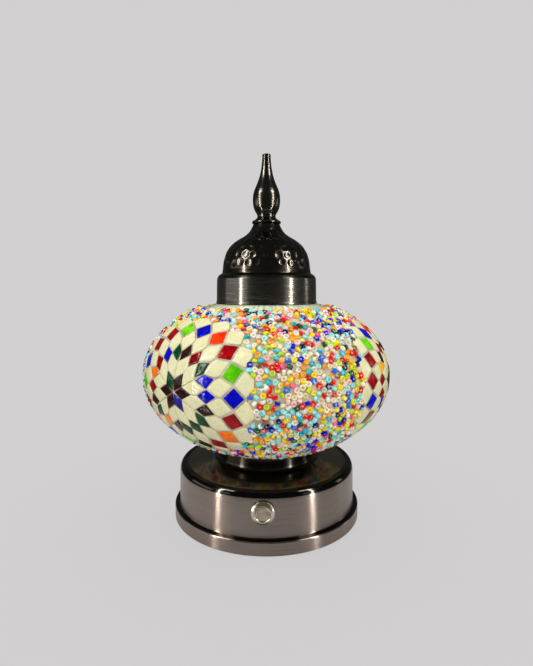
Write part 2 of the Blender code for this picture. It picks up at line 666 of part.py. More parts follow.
def leads():
    """The wires between the cells, the button, the charging board and the LED board."""
    board = BOARD_BOTTOM + BOARD_THICKNESS + GAP
    tab = 23.0 + GAP
    for name, side, finish in (("battery_lead_plus", 1, RED_WIRE), ("battery_lead_minus", -1, BLACK_WIRE)):
        wire(name, [(side * 34.8, 12.0, tab), (side * 34.0, 14.0, tab + 3.0), (side * 26.0, 24.0, tab + 1.0),
                    (side * 15.0, 32.0, 20.5), (side * 13.5, 33.5, board)], LEAD_RADIUS, finish)
    for number, side in ((1, -1), (2, 1)):
        wire(f"switch_lead_{number}",
             [(side * 3.5, -48.2, BUTTON_HEIGHT), (side * 7.0, -43.0, 30.0), (side * 30.0, -34.0, 26.0),
              (side * 44.0, -16.0, 22.0), (side * 43.5, 10.0, 22.0), (side * 27.0, 33.0, 20.5),
              (side * 15.0, 43.0, 18.5), (side * 14.0, 43.5, board)], LEAD_RADIUS, WHITE_WIRE)
    under_led = LED_BOARD_BOTTOM - GAP
    for name, side, finish in (("led_lead_plus", 1, RED_WIRE), ("led_lead_minus", -1, BLACK_WIRE)):
        wire(name, [(side * 4.0, 33.5, board), (side * 4.5, 32.5, 22.0), (side * 9.0, 20.0, 36.0),
                    (side * LEAD_HOLE_X, 2.0, 52.0), (side * LEAD_HOLE_X, 0, 62.0),
                    (side * LEAD_HOLE_X, 0, under_led)], LEAD_RADIUS, finish)


base_housing()
bottom_plate()
plate_fixings()
rubber_feet()
push_button()
battery_pack()
charge_unit()
rod_and_nuts()
light_unit()
glass_globe()
mosaic()
globe_seals()
top_cap()
finial()
leads()
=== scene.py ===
"""The looks of the mosaic glass table lamp: fine meshes, materials, light and camera.

Lengths in this script are in millimetres, with z up from the table and the front at -Y, and MM
turns them into Blender's metres. An azimuth is in degrees from the front towards +X.
"""
import json
import math
import random

import bpy
import numpy as np
from mathutils import Matrix, Vector
from mathutils.kdtree import KDTree


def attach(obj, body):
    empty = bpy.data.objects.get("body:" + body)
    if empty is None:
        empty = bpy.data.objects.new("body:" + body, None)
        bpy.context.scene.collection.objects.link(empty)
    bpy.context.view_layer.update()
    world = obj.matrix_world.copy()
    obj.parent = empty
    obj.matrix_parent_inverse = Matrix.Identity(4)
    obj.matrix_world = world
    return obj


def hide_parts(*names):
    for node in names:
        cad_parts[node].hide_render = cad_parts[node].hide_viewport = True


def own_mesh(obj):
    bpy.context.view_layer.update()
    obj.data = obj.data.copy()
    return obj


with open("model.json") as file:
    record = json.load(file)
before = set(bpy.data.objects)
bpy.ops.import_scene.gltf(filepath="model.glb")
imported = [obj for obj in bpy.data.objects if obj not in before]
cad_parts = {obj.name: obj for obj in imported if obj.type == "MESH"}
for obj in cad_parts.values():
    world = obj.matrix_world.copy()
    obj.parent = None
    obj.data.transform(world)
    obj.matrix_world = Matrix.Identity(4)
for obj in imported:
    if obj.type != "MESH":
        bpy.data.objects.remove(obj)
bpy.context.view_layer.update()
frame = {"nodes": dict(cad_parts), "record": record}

MM = 0.001
NODES = frame["nodes"]

# --- Driving dimensions ---

# Globe: its outline is r = a cos(t)^(2/p), z = centre + b sin(t)^(2/p), for t in degrees
GLOBE_CENTRE = 119.3
GLOBE_POWER = 2.08
MOSAIC_A = 101.2
MOSAIC_B = 65.4
MOSAIC_DEPTH = 3.0
GLASS_WALL = 2.2
GLASS_MOUTH = 33.0
GLASS_NECK = 35.5
GLASS_RIM = 186.0
MOSAIC_TOP = 58.6
MOSAIC_FOOT = -66.4

# Drum base
FLANGE_RADIUS = 77.6
FLANGE_BOTTOM = 0.6
FLANGE_TOP = 11.0
WALL_FOOT = 73.5
WALL_HEAD = 72.9
WALL_TOP = 41.0
NECK_RADIUS = 40.0
NECK_TOP = 59.0
SHEET = 1.2
ROD_HOLE = 5.3
RIM_BEAD_START = 66.3

# Cap and finial
COLLAR_FOOT = 177.1
COLLAR_HEAD = 197.5
CAP_SHEET = 1.0

# Push button on an axis along Y; its outlines are (radius, distance in front of the axis)
BUTTON_HEIGHT = 31.0
BARREL_RADIUS = 7.9
BUTTON_BORE = 5.65
CAP_RADIUS = 5.4
SOCKET_HEIGHT = 17.6
SOCKET_HALF_WIDTH = 4.77
SOCKET_HALF_HEIGHT = 1.93

TAU = 2 * math.pi


# --- Colours ---

def srgb(red, green, blue):
    """A display colour, 0 to 255, as the linear colour that Blender works in."""
    def linear(value):
        value = value / 255
        return value / 12.92 if value <= 0.04045 else ((value + 0.055) / 1.055) ** 2.4
    return linear(red), linear(green), linear(blue), 1.0


def shade(colour, factor):
    return tuple(min(1.0, value * factor) for value in colour[:3]) + (1.0,)


# --- Materials ---

class Finish:
    """A Principled material built up from a few procedural layers."""

    def __init__(self, name, colour, roughness, metallic=0.0, **sockets):
        self.material = bpy.data.materials.new(name)
        self.material.use_nodes = True
        self.tree = self.material.node_tree
        self.shader = self.tree.nodes["Principled BSDF"]
        self.shader.inputs["Base Color"].default_value = colour
        self.shader.inputs["Roughness"].default_value = roughness
        self.shader.inputs["Metallic"].default_value = metallic
        for socket, value in sockets.items():
            self.shader.inputs[socket.replace("_", " ")].default_value = value
        self.colour = colour
        self.paint = None
        self.normal = None

    def node(self, kind, **values):
        made = self.tree.nodes.new(kind)
        for key, value in values.items():
            if key in made.inputs:
                made.inputs[key].default_value = value
            else:
                setattr(made, key, value)
        return made

    def link(self, start, end):
        self.tree.links.new(start, end)

    def noise(self, scale, detail, stretch):
        """Noise over the lamp's own metres; scale is in features for each metre."""
        place = self.node("ShaderNodeTexCoord")
        mapping = self.node("ShaderNodeMapping", Scale=stretch)
        self.link(place.outputs["Object"], mapping.inputs["Vector"])
        made = self.node("ShaderNodeTexNoise", Scale=scale, Detail=detail, Roughness=0.5)
        self.link(mapping.outputs["Vector"], made.inputs["Vector"])
        return made.outputs["Fac"]

    def spread(self, source, low, high, to_low=0.0, to_high=1.0):
        made = self.node("ShaderNodeMapRange", **{"From Min": low, "From Max": high,
                                                  "To Min": to_low, "To Max": to_high})
        self.link(source, made.inputs["Value"])
        return made.outputs["Result"]

    def tint(self, factor, other):
        """Lays another colour over the paint so far where the factor is high."""
        mix = self.node("ShaderNodeMix", data_type="RGBA")
        self.link(factor, mix.inputs["Factor"])
        if self.paint is None:
            mix.inputs["A"].default_value = self.colour
        else:
            self.link(self.paint, mix.inputs["A"])
        mix.inputs["B"].default_value = other
        self.paint = mix.outputs["Result"]
        self.link(self.paint, self.shader.inputs["Base Color"])
        return self

    def clouds(self, other, scale, detail=4.0, low=0.4, high=0.65, stretch=(1, 1, 1)):
        return self.tint(self.spread(self.noise(scale, detail, stretch), low, high), other)

    def spokes(self, other, count, low, high):
        """Streaks that run out from the lamp's axis."""
        place = self.node("ShaderNodeTexCoord")
        turn = self.node("ShaderNodeTexGradient", gradient_type="RADIAL")
        self.link(place.outputs["Object"], turn.inputs["Vector"])
        streaks = self.node("ShaderNodeTexNoise", noise_dimensions="1D", Scale=count, Detail=3.0)
        self.link(turn.outputs["Fac"], streaks.inputs["W"])
        return self.tint(self.spread(streaks.outputs["Fac"], low, high), other)

    def vary(self, other, amount=1.0):
        """Gives each loose piece of the mesh its own share of another colour."""
        chance = self.node("ShaderNodeNewGeometry").outputs["Random Per Island"]
        return self.tint(self.spread(chance, 0, 1, 0, amount), other)

    def mottle(self, scale, low, high, stretch=(1, 1, 1)):
        """Lets the roughness wander between two values."""
        source = self.noise(scale, 4.0, stretch)
        self.link(self.spread(source, 0.35, 0.7, low, high), self.shader.inputs["Roughness"])
        return self

    def relief(self, height, scale, detail=2.0, stretch=(1, 1, 1), strength=1.0):
        """A bump of some height in mm; later layers lie on earlier ones."""
        bump = self.node("ShaderNodeBump", Strength=strength, Distance=height * MM)
        self.link(self.noise(scale, detail, stretch), bump.inputs["Height"])
        if self.normal is not None:
            self.link(self.normal, bump.inputs["Normal"])
        self.normal = bump.outputs["Normal"]
        self.link(self.normal, self.shader.inputs["Normal"])
        return self

    def round_grain(self, axis="Z"):
        """Turns the shader's anisotropy to run round an axis through the piece's middle."""
        tangent = self.node("ShaderNodeTangent", direction_type="RADIAL", axis=axis)
        self.link(tangent.outputs["Tangent"], self.shader.inputs["Tangent"])
        return self


# Noise stretched in these ways makes fine lines, or coarser scratches, round the lamp's axis
LATHE = (6, 6, 260)
SCRATCHES = (4, 4, 56)
GUNMETAL = srgb(171, 157, 148)
# The deck's metal is the wall's gunmetal painted darker: painted shade where the deck reflects less
# light
GUNMETAL_SHADE = srgb(140, 138, 122)
# The rim bead and neck are the same gunmetal painted near black: painted shade for the dark room that
# they reflect
GUNMETAL_DEEP_SHADE = srgb(64, 62, 60)
BLACK_NICKEL = srgb(86, 84, 79)
NICKEL = srgb(236, 226, 204)


def metal_finishes():
    """The lamp's plated metals."""
    wall = Finish("gunmetal_wall", GUNMETAL, 0.24, 1.0, Anisotropic=1.0, Anisotropic_Rotation=0.25)
    wall.clouds(shade(GUNMETAL, 0.84), 9).clouds(shade(GUNMETAL, 0.7), 12, 5.0, 0.5, 0.8, SCRATCHES)
    wall.round_grain().relief(0.02, 12, 4.0, LATHE).relief(0.3, 5, 1.0, strength=0.2)
    # painted shade: a darker copy of the wall's gunmetal on the deck
    deck = Finish("gunmetal_deck_painted_shade", GUNMETAL_SHADE, 0.18, 1.0)
    deck.clouds(shade(GUNMETAL_SHADE, 0.75), 12).mottle(30, 0.15, 0.21)
    deck.relief(0.01, 12, 3.0, LATHE).relief(0.6, 40, 1.0, (1, 1, 0.2), 0.3)
    # painted shade: near-black copies of the housing's gunmetal on the rim bead and neck
    rim = Finish("gunmetal_rim_painted_shade", GUNMETAL_DEEP_SHADE, 0.06, 1.0)
    rim.clouds(shade(GUNMETAL_DEEP_SHADE, 0.8), 20).mottle(50, 0.07, 0.12).relief(0.002, 12, 2.0, LATHE)
    neck = Finish("gunmetal_neck_painted_shade", GUNMETAL_DEEP_SHADE, 0.2, 1.0)
    neck.clouds(shade(GUNMETAL_DEEP_SHADE, 0.8), 20).mottle(50, 0.15, 0.2)
    neck.relief(0.01, 12, 3.0, SCRATCHES)
    inside = Finish("gunmetal_inside", shade(GUNMETAL, 0.5), 0.5, 1.0)
    inside.clouds(shade(GUNMETAL, 0.3), 40).mottle(60, 0.4, 0.6).relief(0.05, 300)
    collar = Finish("black_nickel_brushed", BLACK_NICKEL, 0.24, 1.0, Anisotropic=1.0,
                    Anisotropic_Rotation=0.25, Coat_Weight=0.8, Coat_Roughness=0.34)
    collar.clouds(srgb(100, 94, 86), 14)
    collar.clouds(shade(BLACK_NICKEL, 2.4), 13, 5.0, 0.5, 0.66, SCRATCHES)
    collar.round_grain().relief(0.028, 12, 4.0, LATHE).relief(0.1, 12, 2.0, SCRATCHES)
    dome = Finish("black_nickel_hammered", BLACK_NICKEL, 0.12, 1.0)
    dome.clouds(shade(BLACK_NICKEL, 0.7), 40).mottle(90, 0.15, 0.24).relief(0.03, 500, 3.0)
    # The finial's black nickel is painted 1.3 times brighter than the cap's, so its highlights come out
    # brighter: painted light
    knob = Finish("black_nickel_turned", shade(BLACK_NICKEL, 1.3), 0.18, 1.0)
    knob.clouds(shade(BLACK_NICKEL, 1.0), 30).mottle(70, 0.18, 0.23).relief(0.004, 60, 1.0)
    nickel = Finish("nickel_bezel", NICKEL, 0.2, 1.0)
    nickel.clouds(shade(NICKEL, 0.88), 120).mottle(200, 0.17, 0.25).relief(0.008, 900)
    spun = Finish("nickel_spun", srgb(196, 184, 162), 0.34, 1.0, Anisotropic=0.85)
    spun.clouds(srgb(172, 160, 140), 300).round_grain("Y").relief(0.006, 1500, 4.0)
    zinc = Finish("zinc_plate", srgb(178, 180, 184), 0.34, 1.0)
    zinc.clouds(srgb(150, 152, 150), 60).mottle(150, 0.25, 0.45).relief(0.03, 250)
    aluminium = Finish("turned_aluminium", srgb(205, 206, 209), 0.3, 1.0)
    aluminium.clouds(srgb(180, 181, 184), 50).mottle(120, 0.22, 0.4).relief(0.02, 20, 3.0, LATHE)
    return {"wall": wall, "deck": deck, "rim": rim, "neck": neck, "inside": inside, "collar": collar,
            "dome": dome, "knob": knob, "nickel": nickel, "spun": spun, "zinc": zinc,
            "aluminium": aluminium}


def moulded_finish(name, colour, roughness, dark=0.75, grain=400, height=0.03):
    """A moulded plastic, rubber or painted finish."""
    colour = srgb(*colour)
    made = Finish(name, colour, roughness)
    made.clouds(shade(colour, dark), 35)
    made.mottle(110, roughness * 0.85, min(1.0, roughness * 1.2))
    made.relief(height, grain)
    return made


# Slot: name of its finish, display colour, roughness, then what differs from moulded_finish
PLAIN_FINISHES = {
    "black_rubber": ("rubber", (38, 37, 37), 0.75, 0.7, 900, 0.06),
    "black_plastic": ("black_plastic", (34, 34, 36), 0.42),
    "cell_wrap": ("cell_sleeve", (60, 128, 176), 0.3, 0.85),
    "circuit_green": ("solder_mask", (24, 96, 58), 0.35, 0.7, 250),
    "white_board": ("led_board_white", (228, 228, 224), 0.45, 0.92),
    "led_phosphor": ("phosphor", (236, 208, 92), 0.5, 0.85),
    "opal_plastic": ("opal", (240, 240, 234), 0.4, 0.94),
    "red_wire": ("red_sleeve", (186, 32, 28), 0.45, 0.8),
    "black_wire": ("black_sleeve", (32, 32, 32), 0.45, 0.8),
    "white_wire": ("white_sleeve", (222, 222, 218), 0.45, 0.9),
}


def tile_finish(name, colour, other):
    """Coloured cathedral glass: streaky, with a wavy surface."""
    made = Finish(name, srgb(*colour), 0.06, IOR=1.52, Specular_IOR_Level=0.22, Coat_Weight=0.04,
                  Coat_Roughness=0.04)
    dark = shade(srgb(*other), 0.8)
    made.clouds(srgb(*other), 140, 3.0, 0.38, 0.66).clouds(dark, 480, 3.0, 0.5, 0.72).vary(dark, 0.4)
    return made.mottle(300, 0.06, 0.144).relief(0.25, 420, 1.5)


# --- Mesh tools ---

def to_object(name, vertices, faces, finishes, slots=None, sharp=40):
    """A smooth-shaded object from vertices in mm. slots gives each face's material."""
    mesh = bpy.data.meshes.new(name)
    mesh.from_pydata((np.asarray(vertices, float) * MM).tolist(), [], faces)
    for finish in finishes:
        mesh.materials.append(finish.material)
    if slots is not None:
        mesh.polygons.foreach_set("material_index", slots)
    mesh.shade_smooth()
    if sharp:
        mesh.set_sharp_from_angle(angle=math.radians(sharp))
    mesh.update()
    made = bpy.data.objects.new(name, mesh)
    bpy.context.scene.collection.objects.link(made)
    return made


def arc(centre, radius, start, end, steps):
    """Points (r, z) along an arc, from one angle to another in degrees."""
    angles = [math.radians(start + (end - start) * i / steps) for i in range(steps + 1)]
    return [(centre[0] + radius * math.cos(a), centre[1] + radius * math.sin(a)) for a in angles]


def rounded(corners, steps=6):
    """An open outline from (r, z, fillet radius) corners."""
    out = []
    for i, (r, z, fillet) in enumerate(corners):
        if fillet <= 0 or i in (0, len(corners) - 1):
            out.append((r, z))
            continue
        here = Vector((r, z))
        back = Vector(corners[i - 1][:2]) - here
        ahead = Vector(corners[i + 1][:2]) - here
        half = back.angle(ahead) / 2
        reach = min(fillet / math.tan(half), back.length * 0.49, ahead.length * 0.49)
        start, end = here + back.normalized() * reach, here + ahead.normalized() * reach
        for k in range(steps + 1):
            s = k / steps
            out.append(tuple(start * (1 - s) ** 2 + here * 2 * s * (1 - s) + end * s * s))
    return out


def smooth(points, steps=8):
    """A Catmull-Rom curve through (r, z) points."""
    ends = [points[0], *points, points[-1]]
    out = []
    for i in range(1, len(ends) - 2):
        a, b, c, d = (Vector(p) for p in ends[i - 1:i + 3])
        for k in range(steps):
            s = k / steps
            out.append(tuple(0.5 * (2 * b + (c - a) * s + (2 * a - 5 * b + 4 * c - d) * s * s
                                    + (3 * b - a - 3 * c + d) * s ** 3)))
    out.append(tuple(points[-1]))
    return out


def evened(points, step):
    """The same outline with long straight stretches cut into steps."""
    out = [points[0]]
    for start, end in zip(points, points[1:]):
        count = max(1, round(math.dist(start, end) / step))
        out += [(start[0] + (end[0] - start[0]) * i / count, start[1] + (end[1] - start[1]) * i / count)
                for i in range(1, count + 1)]
    return out


def inward(line):
    """The direction into the solid at each point of an outline that runs upwards."""
    run = np.gradient(line, axis=0)
    run /= np.linalg.norm(run, axis=1)[:, None]
    return np.stack([-run[:, 1], run[:, 0]], axis=1)


def thickened(outer, thickness):
    """A closed ring outline: the outer line, then the same line moved inwards, back again."""
    line = np.array(outer)
    return [*map(tuple, line), *map(tuple, (line + inward(line) * thickness)[::-1])]


def around(outline, segments):
    """The rows of points of an outline (r, z) turned round the axis: rows x segments x 3."""
    outline = np.asarray(outline, float)
    azimuth = np.arange(segments) * TAU / segments
    return np.stack([outline[:, :1] * np.sin(azimuth), -outline[:, :1] * np.cos(azimuth),
                     np.repeat(outline[:, 1:], segments, axis=1)], axis=2)


def ring_faces(rows, segments, closed):
    """Quads between the rows of a turned shape, facing out where its outline runs upwards."""
    faces = []
    for i in range(rows if closed else rows - 1):
        low, high = i * segments, (i + 1) % rows * segments
        for j in range(segments):
            k = (j + 1) % segments
            faces.append((low + j, low + k, high + k, high + j))
    return faces


def capped_faces(rows, segments):
    """Faces of an open turned shape, closed by fans to a lowest and a topmost point after its rows."""
    faces = ring_faces(rows, segments, False)
    lowest, top = rows * segments, (rows - 1) * segments
    for j in range(segments):
        k = (j + 1) % segments
        faces += [(lowest, k, j), (lowest + 1, top + j, top + k)]
    return faces


def ring_object(name, outline, segments, finishes, pick=None, shift=None):
    """A closed ring outline turned round the axis. pick names each row's finish, shift moves points."""
    points = around(outline, segments)
    if shift is not None:
        points = shift(points)
    slots = None
    if pick is not None:
        names = list(finishes)
        sides = enumerate(zip(outline, [*outline[1:], outline[0]]))
        slots = [names.index(pick((start[0] + end[0]) / 2, (start[1] + end[1]) / 2, row))
                 for row, (start, end) in sides for _ in range(segments)]
    faces = ring_faces(len(outline), segments, True)
    return to_object(name, points.reshape(-1, 3), faces, finishes.values(), slots)


def knob_object(name, outline, segments, finish, place=None):
    """A solid whose outline starts and ends on the axis; the end points become single ones."""
    body = outline[1:-1]
    points = around(body, segments).reshape(-1, 3)
    points = np.vstack([points, [(0, 0, outline[0][1]), (0, 0, outline[-1][1])]])
    if place is not None:
        points = np.array([place @ Vector(p) for p in points])
    return to_object(name, points, capped_faces(len(body), segments), [finish])


def prism(name, loop, low, high, place):
    """A plain solid from an XY loop, used as a cutter."""
    count = len(loop)
    points = [place @ Vector((x, y, z)) for z in (low, high) for x, y in loop]
    sides = [(i, (i + 1) % count, count + (i + 1) % count, count + i) for i in range(count)]
    faces = [*sides, tuple(range(count))[::-1], tuple(range(count, 2 * count))]
    return to_object(name, points, faces, [], None, 0)


def cut(target, cutters):
    """Takes the cutters out of the target, for good."""
    for cutter in cutters:
        step = target.modifiers.new("cut", "BOOLEAN")
        step.operation = "DIFFERENCE"
        step.solver = "EXACT"
        step.object = cutter
    bpy.context.view_layer.update()
    whole = target.evaluated_get(bpy.context.evaluated_depsgraph_get())
    mesh = bpy.data.meshes.new_from_object(whole)
    target.modifiers.clear()
    target.data = mesh
    for cutter in cutters:
        bpy.data.objects.remove(cutter)
    mesh.set_sharp_from_angle(angle=math.radians(40))


FORWARD = Matrix.Translation((0, 0, BUTTON_HEIGHT)) @ Matrix.Rotation(math.radians(90), 4, "X")


def finish_piece(piece, body, slot, *nodes):
    """Makes a finished piece ride on its body and hides the CAD nodes that it stands for; slot is not
    used.
    """
    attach(piece, body)
    if nodes:
        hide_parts(*nodes)
    return piece


# --- Drum base ---

def drum_base(metals):
    """The spun housing with its rim bead, neck and foot flange."""
    outer = evened([
        (ROD_HOLE, NECK_TOP),
        *rounded([(30, NECK_TOP, 0), (NECK_RADIUS, NECK_TOP, 0.5), (NECK_RADIUS, 56.8, 0)]),
        *arc((NECK_RADIUS + 4.5, 51.75), 4.5, 180, 262, 14),
        *smooth([(46.5, 47.1), (51, 46.85), (58, 46.4), (64.4, 45.7), (66.0, 45.5)], 5),
        *smooth([(66.6, 44.95), (67.2, 44.65), (67.9, 44.85), (68.8, 45.35), (69.8, 45.35), (71.0, 44.6),
                 (72.0, 43.3), (72.7, 41.7), (WALL_HEAD + 0.05, 40.2)], 5),
        *arc((WALL_FOOT + 1.3, FLANGE_TOP + 1.35), 1.3, 180, 258, 8),
        *rounded([(75.0, FLANGE_TOP, 0), (FLANGE_RADIUS, FLANGE_TOP - 0.2, 1.2),
                  (FLANGE_RADIUS, FLANGE_BOTTOM + 0.4, 0)]),
        *rounded([(FLANGE_RADIUS, FLANGE_BOTTOM + 0.4, 0), (FLANGE_RADIUS, FLANGE_BOTTOM, 0.3),
                  (FLANGE_RADIUS - 0.4, FLANGE_BOTTOM, 0)], 3),
    ], 3.0)
    outline = thickened(outer, -SHEET)[::-1]
    half = len(outline) // 2

    def pick(r, z, row):
        if row < half - 1:
            return "inside"
        on_wall = r > NECK_RADIUS + 20 and FLANGE_TOP + 0.9 < z < WALL_TOP
        on_flange = r > FLANGE_RADIUS - 0.8
        if on_wall or on_flange:
            return "wall"
        # The neck, deck and rim bead take darker copies of the wall's gunmetal: painted shade
        if r < NECK_RADIUS + 4:
            return "neck"
        return "deck" if r < RIM_BEAD_START else "rim"

    finishes = {name: metals[name] for name in ("wall", "deck", "inside", "rim", "neck")}
    drum = ring_object("drum_housing", outline, 256, finishes, pick)
    turning = [TAU * i / 48 for i in range(48)]
    hole = [((BARREL_RADIUS + 0.3) * math.cos(a), (BARREL_RADIUS + 0.3) * math.sin(a)) for a in turning]
    mouth = []
    for side, start in ((1, -90), (-1, 90)):
        centre = side * (SOCKET_HALF_WIDTH - SOCKET_HALF_HEIGHT)
        mouth += arc((centre, 0), SOCKET_HALF_HEIGHT, start, start + 180, 10)
    backward = Matrix.Translation((0, 0, SOCKET_HEIGHT)) @ Matrix.Rotation(math.radians(-90), 4, "X")
    cut(drum, [prism("button_hole", hole, 60, 85, FORWARD),
               prism("socket_mouth", mouth, 67, 79, backward)])
    finish_piece(drum, "lamp", "gunmetal", "base_housing")


# --- Cap and finial ---

DIMPLE_PITCH = 6.7
DIMPLE_RADIUS = 3.05
DIMPLE_DEPTH = 0.5


def dome_dimples(line):
    """Lengths along the dome's outline, and its rows of hammer marks: (length, count, turn)."""
    length, marks = 4.6, []
    run = np.concatenate([[0], np.cumsum(np.linalg.norm(np.diff(line, axis=0), axis=1))])
    row = 0
    while length < run[-1] - 5.5:
        radius = np.interp(length, run, line[:, 0])
        count = max(6, round(TAU * radius / DIMPLE_PITCH))
        marks.append((length, count, 0.5 * (row % 2) + 0.13 * row))
        length += DIMPLE_PITCH * 0.86
        row += 1
    return run, marks


def cap(metals):
    """The pressed cap: a brushed collar, a groove, and the hammered dome."""
    collar = evened(rounded([
        (41.6, COLLAR_FOOT, 0), (41.5, 178.0, 0.5), (41.1, 179.3, 0.8), (40.95, 190, 0),
        (40.7, 197.0, 1.0), (39.4, 199.5, 1.4), (36.6, 201.2, 1.2), (36.2, 203.2, 0.9),
        (36.0, 204.4, 0)], 5), 2.0)
    dome = evened(smooth([(35.95, 204.6), (35.6, 208.2), (34.9, 212.2), (33.5, 217.0), (31.2, 221.2),
                          (28.2, 224.6), (24.0, 227.9), (19.0, 230.9), (15.6, 233.4), (13.1, 236.4),
                          (11.6, 239.2), (10.9, 240.7)], 6), 0.66)
    top = rounded([(10.6, 241.0, 0), (10.0, 241.1, 0.2), (ROD_HOLE, 241.1, 0)], 3)
    outer = [*collar, *dome, *top]
    outline = thickened(outer, CAP_SHEET)
    run, marks = dome_dimples(np.array(dome))
    first, last = len(collar), len(collar) + len(dome)
    chance = random.Random(7)
    marks = [(length, count, turn, [(chance.uniform(-0.7, 0.7), chance.uniform(-0.6, 0.6),
                                     chance.uniform(0.75, 1.15)) for _ in range(count)])
             for length, count, turn in marks]

    def hammer(points):
        segments = points.shape[1]
        azimuth = np.arange(segments) * TAU / segments
        line = np.array(outline[first:last])
        depth = np.zeros((len(line), segments))
        for length, count, turn, wobble in marks:
            for number, (aside, up, size) in enumerate(wobble):
                centre = (number + turn) / count * TAU
                across = (azimuth - centre + math.pi) % TAU - math.pi
                across = across[None, :] * line[:, :1] - aside
                along = (run - length - up)[:, None]
                apart = np.sqrt(across ** 2 + along ** 2) / (DIMPLE_RADIUS * size)
                depth = np.maximum(depth, DIMPLE_DEPTH * size * np.clip(1 - apart ** 2, 0, 1) ** 0.9)
        moved = line[:, None, :] + inward(line)[:, None, :] * depth[:, :, None]
        r, z = moved[:, :, 0], moved[:, :, 1]
        points[first:last] = np.stack([r * np.sin(azimuth), -r * np.cos(azimuth), z], axis=2)
        return points

    def pick(r, z, row):
        if row >= len(outer) - 1:
            return "inside"
        return "collar" if z < COLLAR_HEAD else "dome"

    finishes = {name: metals[name] for name in ("collar", "dome", "inside")}
    shell = ring_object("hammered_cap", outline, 480, finishes, pick, hammer)
    finish_piece(shell, "lamp", "black_nickel", "top_cap")


def finial(metals):
    """The turned knob on top: a thin flange, a waist and a long flame."""
    outline = [(0, 241.4), *rounded([(4, 241.4, 0), (11.2, 241.4, 0.4), (12.0, 242.4, 0.8),
                                     (11.4, 243.6, 0.8), (9.6, 244.6, 0)], 4),
               *smooth([(9.0, 245.0), (7.9, 246.2), (7.45, 247.6), (8.0, 249.4), (9.4, 251.7),
                        (10.6, 255.0), (11.15, 259.5), (10.9, 264.4), (9.9, 268.2), (8.5, 271.6),
                        (7.0, 275.2), (5.7, 279.0), (4.75, 283.0), (4.05, 287.0), (3.6, 291.0),
                        (3.4, 294.2)], 6),
               *rounded([(3.4, 294.4, 0), (3.5, 296.7, 0.9), (1.5, 296.8, 0)], 5), (0, 296.8)]
    knob = knob_object("flame_finial", outline, 144, metals["knob"])
    finish_piece(knob, "lamp", "black_nickel", "finial")


# --- Push button ---

def push_button(metals):
    """The bezel with its barrel, and the cap that moves in it."""
    bore, front = BUTTON_BORE, 76.2
    bezel = [*rounded([(bore, 62.0, 0), (bore, front - 0.35, 0.0), (bore + 0.35, front, 0.3),
                       (7.2, front - 0.62, 2.4), (8.45, front - 1.35, 0.25), (8.6, 74.5, 0.1),
                       (BARREL_RADIUS, 74.5, 0.1), (BARREL_RADIUS, 60, 0.2), (5.2, 60, 0.1),
                       (5.2, 62, 0)], 6)]
    around_bore = around(bezel[::-1], 96).reshape(-1, 3)
    points = np.array([FORWARD @ Vector(p) for p in around_bore])
    shell = to_object("button_bezel", points, ring_faces(len(bezel), 96, True), [metals["nickel"]])
    finish_piece(shell, "lamp", "bright_nickel", "switch_body")
    face = 76.1
    outline = [(0, 59.4), *rounded([(1.0, 59.4, 0), (1.9, 59.4, 0.2), (1.9, 72.1, 0),
                                    (CAP_RADIUS, 72.1, 0.2), (CAP_RADIUS, face - 0.2, 0.3),
                                    (CAP_RADIUS - 0.5, face, 0.2),
                                    (CAP_RADIUS - 0.9, face, 0.1), (CAP_RADIUS - 1.0, face - 0.15, 0.1),
                                    (CAP_RADIUS - 1.3, face - 0.15, 0)], 5)]
    outline = [*outline, (0.4, face - 0.12), (0, face - 0.12)]
    cap_piece = knob_object("button_cap", outline, 96, metals["spun"], FORWARD)
    finish_piece(cap_piece, "button", "bright_nickel", "switch_button")


def return_spring(metals):
    """The spring behind the button's cap, copied from its CAD mesh; here it keeps its length, though the
    real one shortens as the cap goes in.
    """
    coil = NODES["switch_spring"]
    spring = bpy.data.objects.new("button_spring", coil.data.copy())
    bpy.context.scene.collection.objects.link(spring)
    spring.matrix_world = coil.matrix_world
    spring.data.materials.clear()
    spring.data.materials.append(metals["zinc"].material)
    finish_piece(spring, "lamp", "zinc_plate", "switch_spring")
    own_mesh(spring)


# --- Globe: places on its outline ---

def outline_at(t, depth=0.0):
    """Radius and height of the globe's outline at t degrees, some depth under the mosaic's outside."""
    angle = np.radians(np.asarray(t, float))
    power = 2 / GLOBE_POWER
    radius = (MOSAIC_A - depth) * np.abs(np.cos(angle)) ** power
    height = (MOSAIC_B - depth) * np.sign(np.sin(angle)) * np.abs(np.sin(angle)) ** power
    return radius, GLOBE_CENTRE + height


STATIONS = np.linspace(-85, 85, 1701)
_r, _z = outline_at(STATIONS)
ARC = np.concatenate([[0], np.cumsum(np.hypot(np.diff(_r), np.diff(_z)))])
ARC -= np.interp(0, STATIONS, ARC)


def on_globe(azimuth, t, depth=0.0):
    """Points and outward normals on the globe, for arrays of azimuths and t in degrees."""
    azimuth, t = np.radians(azimuth), np.asarray(t, float)
    radius, height = outline_at(t, depth)
    r_high, z_high = outline_at(t + 0.05, depth)
    r_low, z_low = outline_at(t - 0.05, depth)
    out, up = z_high - z_low, r_low - r_high
    size = np.hypot(out, up)
    out, up = out / size, up / size
    sin, cos = np.sin(azimuth), np.cos(azimuth)
    places = np.broadcast_arrays(radius * sin, -radius * cos, height)
    normals = np.broadcast_arrays(out * sin, -out * cos, up)
    return np.stack(places, axis=-1), np.stack(normals, axis=-1)


def unrolled(centre, p, q):
    """Azimuth and t of a place p mm to the right and q mm up from a medallion's centre."""
    t = np.interp(q, ARC, STATIONS)
    radius = outline_at(t)[0]
    return centre + np.degrees(np.asarray(p) / radius), t


def on_medallion(centre, p, q, depth):
    """Points and outward normals on the globe, p mm to the right and q mm up from a centre."""
    return on_globe(*unrolled(centre, p, q), depth)


# --- Globe: glass and grout ---

